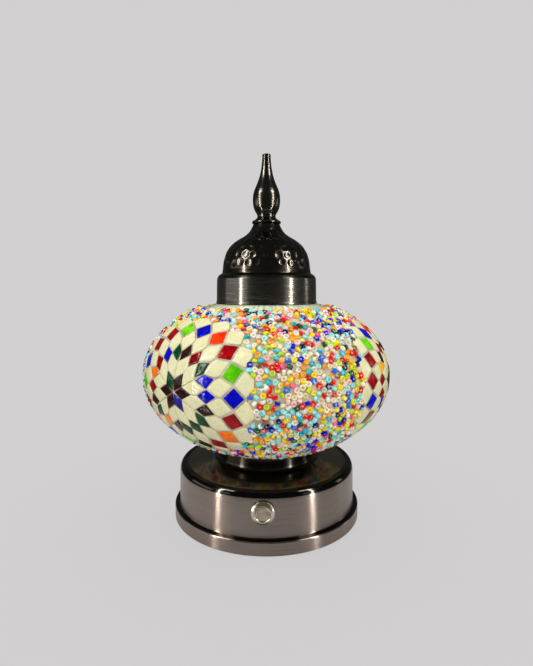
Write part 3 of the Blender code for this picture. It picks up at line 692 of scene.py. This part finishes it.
def glass_globe():
    """The blown globe, open at its mouth and neck."""
    # The glass's pale colours are raised to offset the shade that the cap casts on the shoulder: painted
    # light
    glass = Finish("clear_blown_glass", srgb(244, 250, 218), 0.08, 0.0, IOR=1.5,
                   Transmission_Weight=0.05, Coat_Weight=0.5, Coat_Roughness=0.03)
    glass.spokes(srgb(186, 196, 154), 110, 0.48, 0.62).clouds(srgb(222, 230, 196), 60, 4.0, 0.45, 0.7)
    glass.mottle(60, 0.05, 0.16)
    glass.relief(0.4, 60, 2.0)
    low, high = -70.5, 62.5
    turns = np.linspace(low, high, 150)
    outer = np.stack(outline_at(turns, MOSAIC_DEPTH), axis=1)
    inner = np.stack(outline_at(turns[::-1], MOSAIC_DEPTH + GLASS_WALL), axis=1)
    neck = rounded([(44, 176.2, 0), (GLASS_NECK, 177.2, 3.0), (GLASS_NECK, GLASS_RIM, 0.8),
                    (GLASS_NECK - 2, GLASS_RIM, 0.8), (GLASS_NECK - 2, 175.2, 3.0), (43, 173.8, 0)], 5)
    mouth = rounded([(34.5, inner[-1][1], 0), (GLASS_MOUTH, 58.9, 0.8), (GLASS_MOUTH + 1, 57.4, 0.8),
                     (36, 58.0, 0)], 4)
    outer = [p for p in map(tuple, outer) if p[0] > 37 or p[1] > 100]
    outline = [*[p for p in outer if p[1] < 175.6], *neck,
               *[p for p in map(tuple, inner) if p[1] < 173.4 and p[0] > 36], *mouth]
    globe = ring_object("blown_globe", outline, 192, {"glass": glass})
    finish_piece(globe, "lamp", "clear_glass", "glass_globe")


# The medallions: azimuth of the centre, turn of the pattern, how much smaller than the first
MEDALLIONS = ((-37.2, 0.0, 0.0), (75.6, -7.0, 3.6), (200.0, 4.0, 1.5))
MEDALLION_EDGE = 59.5
MEDALLION_WAVE = 2.5
BEAD_GROUT_DEPTH = 2.0
TILE_GROUT_DEPTH = 1.0


def medallion_reach(number, angle):
    """A medallion's radius towards an angle in degrees: its edge bulges beside each outer tile."""
    _, turn, smaller = MEDALLIONS[number]
    return MEDALLION_EDGE - smaller + MEDALLION_WAVE * np.cos(np.radians(18 * (angle - turn - 10)))


def grout_finishes():
    beads = Finish("bead_grout", srgb(208, 193, 160), 0.8)
    # The last, lighter layer is painted highlights on the grout
    beads.clouds(srgb(174, 154, 120), 160, 4.0).clouds(srgb(224, 213, 186), 420, 3.0, 0.55, 0.75)
    beads.mottle(300, 0.65, 0.95).relief(0.35, 900, 3.0)
    tiles = Finish("tile_grout", srgb(192, 182, 154), 0.7)
    tiles.clouds(srgb(152, 142, 116), 110, 4.0).clouds(srgb(212, 204, 178), 500, 3.0, 0.55, 0.75)
    tiles.mottle(300, 0.55, 0.85).relief(0.25, 800, 3.0)
    return beads, tiles


def waviness(points, scale, height):
    """Smooth hand-made unevenness, between minus and plus a height, for rows of points in mm."""
    x, y, z = (points[..., i] / scale for i in range(3))
    waves = (np.sin(x * 1.9 + 1.3 * np.sin(y * 1.1 + 0.7)) + np.sin(y * 2.3 + 1.7 * np.sin(z * 1.3))
             + np.sin(z * 2.1 + 1.5 * np.sin(x * 0.9 + 2.0)) + np.sin((x + y + z) * 3.1))
    return waves / 4 * height


def bead_grout(finish):
    """The layer of grout that the beads are set in, all round the globe."""
    turns = np.linspace(MOSAIC_FOOT, MOSAIC_TOP, 130)
    azimuth = np.arange(330) * 360 / 330
    points, normals = on_globe(azimuth[None, :], turns[:, None], BEAD_GROUT_DEPTH)
    points = points + normals * waviness(points, 2.2, 0.28)[..., None]
    under = on_globe(azimuth[None, :], np.linspace(MOSAIC_TOP, MOSAIC_FOOT, 40)[:, None],
                     MOSAIC_DEPTH - 0.02)[0]
    rows = np.concatenate([points, under])
    layer = to_object("bead_grout", rows.reshape(-1, 3), ring_faces(len(rows), 330, True), [finish])
    finish_piece(layer, "lamp", "seed_beads", "bead_field")


def tile_grout(number, finish):
    """One medallion's bed of grout: a thin round patch."""
    centre = MEDALLIONS[number][0]
    rings, spokes = 34, 216
    turns = np.arange(spokes) * TAU / spokes
    edge = medallion_reach(number, np.degrees(turns)) + 0.3 * np.sin(turns * 23 + number)
    bottom = MOSAIC_DEPTH - 0.02
    rows = []
    for share, depth in [*[(share, bottom) for share in (0.25, 0.5, 0.75, 1.0)],
                         (1.0, TILE_GROUT_DEPTH + 1.0), (0.994, TILE_GROUT_DEPTH + 0.25),
                         (0.98, TILE_GROUT_DEPTH),
                         *[(1 - i / rings, TILE_GROUT_DEPTH) for i in range(1, rings)]]:
        reach = edge * share
        points, normals = on_medallion(centre, reach * np.cos(turns), reach * np.sin(turns), depth)
        if depth == TILE_GROUT_DEPTH:
            points = points + normals * waviness(points, 3.0, 0.1)[..., None]
        rows.append(points)
    middles = [on_medallion(centre, 0.0, 0.0, depth)[0] for depth in (bottom, TILE_GROUT_DEPTH)]
    faces = capped_faces(len(rows), spokes)
    points = np.vstack([*rows, *middles])
    layer = to_object(f"tile_grout_{number + 1}", points, faces, [finish])
    finish_piece(layer, "lamp", "glass_tiles", f"medallion_{number + 1}")


# --- Globe: glass tiles ---

GROUT_GAP = 0.12
TILE_HEIGHT = 2.55

# Tile colours by letter: display colour, then the colour of its streaks
TILE_COLOURS = {
    "C": ("cream", (222, 217, 164), (232, 228, 184)),
    "B": ("blue", (6, 14, 214), (4, 6, 160)),
    "G": ("green", (124, 226, 8), (70, 180, 6)),
    "R": ("crimson", (184, 4, 14), (112, 0, 8)),
    "V": ("vermilion", (254, 68, 4), (232, 34, 2)),
    "O": ("orange", (252, 146, 8), (246, 104, 4)),
    "F": ("forest", (8, 84, 42), (4, 54, 30)),
    "D": ("umber", (60, 26, 24), (34, 12, 14)),
    "I": ("indigo", (52, 52, 164), (36, 34, 120)),
    "Y": ("amber", (250, 190, 10), (244, 160, 6)),
    "W": ("chestnut", (150, 76, 48), (96, 44, 30)),
}

# Colours round each medallion, from its right, anticlockwise: star, inner ring, outer ring
STARS = ("DDFDDI", "DDFDDI", "FDDIDD")
INNER_RINGS = ("BBFRDFBRORDFODFFFD", "BOFDFDRDYRRBFODFRD", "BFRDORFBDFRODFBRFD")
OUTER_RINGS = ("BGRVBGRRBGROBGDROR", "OGRBRVBGRRBWGOBRGD", "RBGVRBGROBRGVBRGDB")


def polar(radius, angle):
    """A place (p, q) in mm on a medallion, from its distance and angle in degrees."""
    return radius * math.cos(math.radians(angle)), radius * math.sin(math.radians(angle))


def medallion_tiles(number):
    """The tiles of one medallion: (colour letter, corners on the medallion)."""
    _, turn, smaller = MEDALLIONS[number]

    def place(radius, angle):
        closeness = min(1.0, max(0.0, (radius - 28) / 12))
        return polar(radius - smaller * closeness, angle + turn)

    tiles = []
    for k in range(6):
        at = 60 * k
        tiles.append((STARS[number][k],
                      [place(0.5, at), place(9, at - 30), place(16, at), place(9, at + 30)]))
        for side in (-1, 1):
            corner = at + 30 * side
            kite = [place(9, corner), place(16, at), place(21, at), place(27.8, at + 10 * side),
                    place(21, corner)]
            tiles.append(("C", kite if side > 0 else kite[::-1]))
    for k in range(18):
        at = 20 * k
        inner = at + (10 if k % 3 == 1 else -10 if k % 3 == 2 else 0)
        lean = inner if k % 3 == 0 else at + (7 if k % 3 == 1 else -7)
        tiles.append((INNER_RINGS[number][k], [place(28.5, at - 10), place(35.5, at),
                                               place(28.5, at + 10), place(21.3, lean)]))
        tiles.append((OUTER_RINGS[number][k],
                      [place(40.6, at), place(48.2, at - 8.6), place(55.3, at), place(48.2, at + 8.6)]))
        beside = at + 10
        tiles.append(("C", [place(29.0, beside), place(36.2, at + 0.8), place(39.8, at + 0.8),
                            place(47.4, beside), place(39.8, at + 19.2), place(36.2, at + 19.2)][::-1]))
        tiles.append(("C", [place(48.7, beside), place(55.9, at + 1.0), place(57.2, at + 1.5),
                            place(61.7, at + 7.4), place(61.9, at + 12.0), place(57.3, at + 18.4),
                            place(55.9, at + 19.0)][::-1]))
    return tiles


def rounded_loop(corners, radius=0.55):
    """A closed loop through corners, with the corners rounded and the sides cut in three."""
    out = []
    count = len(corners)
    for i in range(count):
        here = Vector(corners[i])
        back, ahead = Vector(corners[i - 1]) - here, Vector(corners[(i + 1) % count]) - here
        if back.length < 1e-6 or ahead.length < 1e-6:
            continue
        start = here + back.normalized() * min(radius, back.length * 0.3)
        end = here + ahead.normalized() * min(radius, ahead.length * 0.3)
        out += [tuple(start), tuple(start * 0.25 + here * 0.5 + end * 0.25), tuple(end)]
        beyond = Vector(corners[(i + 1) % count])
        for share in (1 / 3, 2 / 3):
            out.append(tuple(end + (beyond - here) * share * 0.8))
    return out


def tile_mesh(centre, corners, chance):
    """Points and faces of one cut tile, slightly tilted, with ground edges and a wavy face."""
    corners = [Vector(c) for c in corners]
    middle = sum(corners, Vector((0, 0))) / len(corners)
    reach = min((c - middle).length for c in corners)
    shrink = max(0.3, 1 - GROUT_GAP / (reach * 0.7))
    jittered = []
    for corner in corners:
        moved = middle + (corner - middle) * shrink
        jittered.append((moved.x + chance.uniform(-0.2, 0.2), moved.y + chance.uniform(-0.2, 0.2)))
    loop = np.array(rounded_loop(jittered))
    inside = loop.mean(axis=0)
    spread = np.linalg.norm(loop - inside, axis=1).min()
    tilt = (chance.gauss(0, 0.016), chance.gauss(0, 0.016))
    rise = chance.uniform(-0.12, 0.1)
    bevel = min(0.5, spread * 0.2) / spread
    rows = []
    for share, height in ((1, 0.1), (1, TILE_HEIGHT - 0.42), (1 - bevel * 0.35, TILE_HEIGHT - 0.12),
                          (1 - bevel, TILE_HEIGHT), (0.72, TILE_HEIGHT + 0.03),
                          (0.45, TILE_HEIGHT + 0.04), (0.2, TILE_HEIGHT + 0.04)):
        flat = inside + (loop - inside) * share
        points, normals = on_medallion(centre, *flat.T, MOSAIC_DEPTH)
        lift = height + ((flat - inside) @ np.array(tilt) + rise if height > 1 else 0)
        lift = lift + (waviness(points, 1.6, 0.09) if height > TILE_HEIGHT - 0.05 else 0)
        rows.append(points + normals * np.broadcast_to(lift, (len(loop),))[:, None])
    top = on_medallion(centre, *inside, MOSAIC_DEPTH - TILE_HEIGHT - rise)[0]
    under = on_medallion(centre, *inside, MOSAIC_DEPTH - 0.1)[0]
    points = np.vstack([*rows, under, top])
    faces = capped_faces(len(rows), len(loop))
    area = 0.5 * np.sum(loop[:, 0] * np.roll(loop[:, 1], -1) - np.roll(loop[:, 0], -1) * loop[:, 1])
    if area < 0:
        faces = [face[::-1] for face in faces]
    return points, faces


def glass_tiles():
    """All tiles, one piece for each colour of each medallion."""
    finishes = {}
    for letter, (name, colour, streak) in TILE_COLOURS.items():
        finishes[letter] = tile_finish(f"tile_{name}", colour, streak)
    for number in range(len(MEDALLIONS)):
        chance = random.Random(40 + number)
        found = {}
        for letter, corners in medallion_tiles(number):
            points, faces = tile_mesh(MEDALLIONS[number][0], corners, chance)
            vertices, polygons = found.setdefault(letter, ([], []))
            start = sum(len(v) for v in vertices)
            vertices.append(points)
            polygons += [tuple(i + start for i in face) for face in faces]
        for letter, (vertices, polygons) in found.items():
            name = f"tiles_{TILE_COLOURS[letter][0]}_{number + 1}"
            piece = to_object(name, np.vstack(vertices), polygons, [finishes[letter]])
            finish_piece(piece, "lamp", "glass_tiles")


# --- Globe: seed beads ---

BEAD_RADIUS = 2.3
BEAD_HOLE = 0.72
BEAD_LENGTH = 3.1
BEAD_THROW = 3.12  # thrown this far apart, then pushed apart towards the spacing
BEAD_SPACING = 4.15
BEAD_SETTLING = 26
BEAD_DEPTH = 1.0
BEAD_CLEARANCE = 1.35  # from a medallion's edge
BEAD_LIMITS = (MOSAIC_FOOT + 1.4, MOSAIC_TOP - 1.5)
LOST_BEADS = 0.05
FLAT_BEADS = 0.56

# Bead colours: display colour, colour it varies to, share of the beads
BEAD_COLOURS = {
    "red": ((246, 22, 6), (212, 6, 8), 11),
    "royal_blue": ((8, 18, 224), (6, 10, 160), 9),
    "navy": ((8, 10, 120), (4, 4, 80), 3),
    "amber": ((254, 176, 4), (240, 134, 2), 9),
    "yellow": ((254, 232, 6), (242, 208, 2), 9),
    "lime": ((222, 236, 10), (164, 206, 8), 7),
    "dark_green": ((2, 92, 50), (2, 60, 34), 5),
    "turquoise": ((24, 200, 208), (8, 158, 180), 5),
    "pale_aqua": ((176, 240, 236), (108, 216, 220), 11),
    "sky_blue": ((40, 124, 230), (16, 80, 206), 3),
    "pink": ((252, 112, 156), (238, 76, 128), 3),
    "pale_pink": ((252, 214, 204), (240, 180, 168), 8),
    "cream": ((250, 240, 200), (232, 210, 158), 12),
    "copper": ((156, 96, 62), (116, 64, 42), 2),
    "crystal": ((244, 246, 234), (206, 198, 176), 15),
}


def globe_place(points):
    """Azimuth and t of points near the beads' layer of the globe."""
    share_out = np.hypot(points[:, 0], points[:, 1]) / (MOSAIC_A - BEAD_DEPTH)
    share_up = (points[:, 2] - GLOBE_CENTRE) / (MOSAIC_B - BEAD_DEPTH)
    half = GLOBE_POWER / 2
    t = np.arctan2(np.sign(share_up) * np.abs(share_up) ** half, share_out ** half)
    return np.degrees(np.arctan2(points[:, 0], -points[:, 1])), np.degrees(t)


def clear_of_medallions(azimuth, t):
    """Moves places that lie on a medallion out to its edge, and keeps all between the layer's ends."""
    t = np.clip(t, *BEAD_LIMITS)
    for number, (centre, _, _) in enumerate(MEDALLIONS):
        across = np.radians((azimuth - centre + 180) % 360 - 180) * outline_at(t)[0]
        up = np.interp(t, STATIONS, ARC)
        reach = medallion_reach(number, np.degrees(np.arctan2(up, across))) + BEAD_CLEARANCE
        apart = np.hypot(across, up)
        inside = apart < reach
        scale = np.where(inside, reach / np.maximum(apart, 1e-6), 1.0)
        moved_azimuth, moved_t = unrolled(centre, across * scale, up * scale)
        azimuth, t = np.where(inside, moved_azimuth, azimuth), np.where(inside, moved_t, t)
    return azimuth, t


def bead_places():
    """Centres of the beads as (azimuth, t): thrown at random, then pushed apart till they are even."""
    chance = random.Random(2024)
    throws = 75000
    t = np.array([chance.uniform(*BEAD_LIMITS) for _ in range(throws)])
    keep = np.array([chance.random() for _ in range(throws)])
    azimuth = np.array([chance.uniform(0, 360) for _ in range(throws)])
    stride = np.interp(t + 0.5, STATIONS, ARC) - np.interp(t - 0.5, STATIONS, ARC)
    area = outline_at(t)[0] * stride
    settled_azimuth, settled_t = clear_of_medallions(azimuth, t)
    chosen = (keep < area / area.max()) & (settled_t == t)
    points = on_globe(azimuth, t, BEAD_DEPTH)[0]
    taken, places = {}, []
    for i in np.flatnonzero(chosen):
        key = tuple(int(value // BEAD_THROW) for value in points[i])
        near = (taken.get((key[0] + a, key[1] + b, key[2] + c), ())
                for a in (-1, 0, 1) for b in (-1, 0, 1) for c in (-1, 0, 1))
        if any(math.dist(points[i], other) < BEAD_THROW for group in near for other in group):
            continue
        taken.setdefault(key, []).append(tuple(points[i]))
        places.append(i)
    azimuth, t = azimuth[places], t[places]
    for _ in range(BEAD_SETTLING):
        points = on_globe(azimuth, t, BEAD_DEPTH)[0]
        tree = KDTree(len(points))
        for i, point in enumerate(points):
            tree.insert(point, i)
        tree.balance()
        push = np.zeros_like(points)
        for i, point in enumerate(points):
            for other, j, apart in tree.find_range(point, BEAD_SPACING):
                if j != i and apart > 0:
                    push[i] += (point - np.array(other)) * (0.5 * (BEAD_SPACING - apart) / apart)
        azimuth, t = clear_of_medallions(*globe_place(points + 0.8 * push))
    return np.stack([azimuth, t], axis=1)


def bead_shape():
    """Points and faces of one bead along Z: a rounded ring."""
    sides, steps = 14, 8
    half = (BEAD_RADIUS - BEAD_HOLE) / 2
    outline = []
    for k in range(steps):
        angle = TAU * k / steps - math.pi / 2
        c, s = math.cos(angle), math.sin(angle)
        outline.append((BEAD_HOLE + half + half * math.copysign(abs(c) ** 0.75, c),
                        BEAD_LENGTH / 2 * math.copysign(abs(s) ** 0.75, s)))
    return around(outline, sides).reshape(-1, 3), ring_faces(steps, sides, True)


def bead_frame(normal, lean, heading):
    """Axes of a bead whose hole leans away from the surface's normal."""
    up = Vector(normal)
    aside = up.orthogonal().normalized()
    aside.rotate(Matrix.Rotation(heading, 3, up))
    axis = up * math.cos(lean) + aside * math.sin(lean)
    across = axis.orthogonal().normalized()
    return np.array([across, axis.cross(across), axis])


def seed_beads(hole_finish):
    """The beads, one piece for each colour, and the grout that fills the holes of the flat ones."""
    shape, shape_faces = bead_shape()
    shape_faces = np.array(shape_faces)
    reach, sides = 0.95 * BEAD_HOLE, 10
    turning = [TAU * k / sides for k in range(sides)]
    plug = np.array([*[(reach * math.cos(a), reach * math.sin(a), z) for z in (-0.8, 1.0)
                       for a in turning], (0, 0, -0.8), (0, 0, 1.12)])
    plug_faces = capped_faces(2, sides)
    chance = random.Random(77)
    names = list(BEAD_COLOURS)
    weights = [BEAD_COLOURS[name][2] for name in names]
    beads = {name: [] for name in names}
    plugs = []
    places = bead_places()
    centres, normals = on_globe(places[:, 0], places[:, 1], 0.0)
    for centre, normal in zip(centres, normals):
        name = chance.choices(names, weights)[0]
        if chance.random() < LOST_BEADS:
            continue
        flat = chance.random() < FLAT_BEADS
        lean = abs(chance.gauss(0, 0.34)) if flat else math.pi / 2 - abs(chance.gauss(0, 0.3))
        sink = 1.62 if flat else 1.9
        axes = bead_frame(normal, lean, chance.uniform(0, TAU))
        size = chance.uniform(0.84, 1.03)
        scale = np.array([size, size, size * chance.uniform(0.82, 1.1)])
        middle = centre - normal * (sink + chance.uniform(-0.15, 0.2))
        beads[name].append(middle + (shape * scale) @ axes)
        if lean < 0.9:
            plugs.append(middle + (plug * scale) @ axes)
    for name, found in beads.items():
        colour, other, _ = BEAD_COLOURS[name]
        made = Finish(f"bead_{name}", srgb(*colour), 0.1, 0.0, IOR=1.55, Specular_IOR_Level=0.25,
                      Coat_Weight=0.25, Coat_Roughness=0.03)
        made.vary(srgb(*other), 0.9).clouds(shade(srgb(*other), 0.6), 420, 2.0, 0.52, 0.8)
        # Lighter flecks mixed towards white: painted glints on the glass beads
        painted_glint = tuple(0.5 + 0.5 * value for value in made.colour[:3]) + (1.0,)
        made.clouds(painted_glint, 360, 1.0, 0.58, 0.74).mottle(400, 0.06, 0.16).relief(0.06, 900)
        faces = np.concatenate([shape_faces + i * len(shape) for i in range(len(found))])
        piece = to_object(f"beads_{name}", np.vstack(found), faces.tolist(), [made], None, 0)
        finish_piece(piece, "lamp", "seed_beads")
    faces = [tuple(i + number * len(plug) for i in face)
             for number in range(len(plugs)) for face in plug_faces]
    piece = to_object("bead_hole_grout", np.vstack(plugs), faces, [hole_finish], None, 50)
    finish_piece(piece, "lamp", "seed_beads")


# --- Parts carried over from the CAD model ---

def carried_parts(metals):
    """Gives the CAD nodes the procedural finishes of their slots."""
    own = {"bright_nickel": metals["nickel"], "zinc_plate": metals["zinc"],
           "aluminium": metals["aluminium"], "gunmetal": metals["wall"],
           "black_nickel": metals["knob"]}
    own.update((slot, moulded_finish(*values)) for slot, values in PLAIN_FINISHES.items())
    for subpart in frame["record"]["subparts"]:
        finish = own.get(subpart["material_slot"])
        node = NODES[subpart["node"]]
        if finish is None:
            continue
        if not node.material_slots:
            node.data.materials.append(finish.material)
        for place in node.material_slots:
            place.material = finish.material


# --- Light, floor and camera ---

BACKDROP = srgb(210, 208, 209)
AMBIENT = 1.4
DARK_STUDIO = (0.06, 0.06, 0.056, 1)
PAPER_RADIUS = 2600
PAPER_SEEN = (190, 300)  # polished surfaces see all of the paper up to here, and none from there
PAPER_EVENNESS = 0.85  # the camera's share of flat backdrop colour on the paper; the rest is shaded

CAMERA_TURN = 2.0  # degrees of azimuth; the lamp's front looks a little to the left
CAMERA_DISTANCE = 396.0  # from the lamp's axis
CAMERA_HEIGHT = 192.0
CAMERA_DOWN = 5.8  # degrees
CAMERA_LENS = 25.68

PANEL_COLOUR = (1.0, 0.94, 0.86)
# Glowing panels: foot and head (right, towards the camera, up), width and radiance
PANELS = {
    "left_strip": ((-832, 533, 120), (-799, 383, 900), 40, 44),
    "right_strip": ((828, 575, 120), (795, 425, 900), 40, 44),
    "left_low_strip": ((-892, 659, -700), (-851, 502, 120), 36, 38),
    "right_low_strip": ((877, 716, -700), (839, 559, 120), 36, 40),
    "left_glow": ((-775, 650, 150), (-775, 650, 420), 200, 1.0),
    "right_glow": ((775, 670, 150), (775, 670, 420), 200, 0.8),
    "left_lamp": ((-690, 420, 730), (-640, 350, 900), 280, 12),
    "right_lamp": ((690, 440, 730), (640, 370, 900), 280, 12),
    "left_panel": ((-1092, 82, 110), (-1092, 82, 410), 680, 1.2),
    "right_panel": ((1075, -218, 110), (1075, -218, 410), 170, 2.0),
}


def shader_nodes(tree, **kinds):
    """New shader nodes under their names, in an emptied tree."""
    tree.nodes.clear()
    return {name: tree.nodes.new(f"ShaderNode{kind}") for name, kind in kinds.items()}


def join(tree, nodes, *links):
    """Joins sockets of named nodes: (from, output, to, input)."""
    for start, output, end, socket in links:
        tree.links.new(nodes[start].outputs[output], nodes[end].inputs[socket])


def world_light():
    """Even soft light on matt surfaces; polished ones see a dark studio."""
    world = bpy.data.worlds.new("studio")
    bpy.context.scene.world = world
    world.use_nodes = True
    world.cycles.sampling_method = "NONE"
    tree = world.node_tree
    nodes = shader_nodes(tree, rays="LightPath", seen="Background", lit="Background",
                         dark="Background", first="MixShader", second="MixShader", out="OutputWorld")
    for name, colour in (("seen", BACKDROP), ("lit", (AMBIENT,) * 3 + (1,)), ("dark", DARK_STUDIO)):
        nodes[name].inputs["Color"].default_value = colour
    join(tree, nodes, ("rays", "Is Glossy Ray", "first", 0), ("lit", 0, "first", 1),
         ("dark", 0, "first", 2), ("rays", "Is Camera Ray", "second", 0), ("first", 0, "second", 1),
         ("seen", 0, "second", 2), ("second", 0, "out", "Surface"))


def panel(name, foot, head, width, radiance):
    """A glowing panel between two points (right, towards the camera, up) in mm, facing the lamp."""
    turn = Matrix.Rotation(math.radians(CAMERA_TURN), 3, "Z")
    low, high = (turn @ Vector((right, -near, up)) * MM for right, near, up in (foot, head))
    light = bpy.data.lights.new(name, "AREA")
    light.shape = "RECTANGLE"
    light.size, light.size_y = width * MM, (high - low).length
    light.color = PANEL_COLOUR
    light.energy = radiance * math.pi * light.size * light.size_y
    along = (high - low).normalized()
    middle = (low + high) / 2
    away = middle - Vector((0, 0, 150 * MM))
    away = (away - along * away.dot(along)).normalized()
    across = along.cross(away)
    holder = bpy.data.objects.new(name, light)
    bpy.context.scene.collection.objects.link(holder)
    turned = Matrix((across, along, away)).transposed().to_4x4()
    holder.matrix_world = Matrix.Translation(middle) @ turned
    holder.visible_camera = False
    holder.visible_diffuse = False


def paper_floor():
    """Pale paper under the lamp. Polished surfaces see it only near the lamp."""
    paper = bpy.data.materials.new("studio_paper")
    paper.use_nodes = True
    tree = paper.node_tree
    nodes = shader_nodes(tree, lit="BsdfDiffuse", glow="Emission", clear="BsdfTransparent",
                         rays="LightPath", place="TexCoord", reach="VectorMath", fade="MapRange",
                         part="Math", gone="Math", first="MixShader", second="MixShader",
                         out="OutputMaterial")
    nodes["lit"].inputs["Color"].default_value = shade(BACKDROP, 1 / AMBIENT)
    nodes["glow"].inputs["Color"].default_value = BACKDROP
    nodes["reach"].operation = "LENGTH"
    nodes["part"].operation = nodes["gone"].operation = "MULTIPLY"
    nodes["part"].inputs[1].default_value = PAPER_EVENNESS
    for socket, distance in zip(("From Min", "From Max"), PAPER_SEEN):
        nodes["fade"].inputs[socket].default_value = distance * MM
    join(tree, nodes, ("place", "Object", "reach", 0), ("reach", "Value", "fade", 0),
         ("rays", "Is Camera Ray", "part", 0), ("part", 0, "first", 0), ("lit", 0, "first", 1),
         ("glow", 0, "first", 2), ("rays", "Is Glossy Ray", "gone", 0), ("fade", 0, "gone", 1),
         ("gone", 0, "second", 0), ("first", 0, "second", 1), ("clear", 0, "second", 2),
         ("second", 0, "out", "Surface"))
    count = 96
    rim = [(*polar(PAPER_RADIUS, 360 * i / count), 0.0) for i in range(count)]
    floor = to_object("studio_floor", rim, [tuple(range(count))], [], None, 0)
    floor.data.materials.append(paper)


def camera():
    """The photograph's viewpoint: level with the globe's upper part, looking slightly down."""
    lens = bpy.data.cameras.new("camera")
    lens.sensor_fit = "AUTO"
    lens.sensor_width = 36.0
    lens.lens = CAMERA_LENS
    lens.clip_start = 0.01
    holder = bpy.data.objects.new("camera", lens)
    bpy.context.scene.collection.objects.link(holder)
    turn = math.radians(CAMERA_TURN)
    right, near = CAMERA_DISTANCE * math.sin(turn), CAMERA_DISTANCE * math.cos(turn)
    holder.location = Vector((right, -near, CAMERA_HEIGHT)) * MM
    holder.rotation_euler = (math.radians(90 - CAMERA_DOWN), 0, turn)
    bpy.context.scene.camera = holder


def main():
    metals = metal_finishes()
    camera()
    drum_base(metals)
    cap(metals)
    finial(metals)
    push_button(metals)
    return_spring(metals)
    glass_globe()
    bead_bed, tile_bed = grout_finishes()
    bead_grout(bead_bed)
    for number in range(len(MEDALLIONS)):
        tile_grout(number, tile_bed)
    glass_tiles()
    seed_beads(bead_bed)
    carried_parts(metals)
    world_light()
    for name, place in PANELS.items():
        panel(name, *place)
    paper_floor()
    bpy.context.scene.view_settings.view_transform = "Standard"


main()
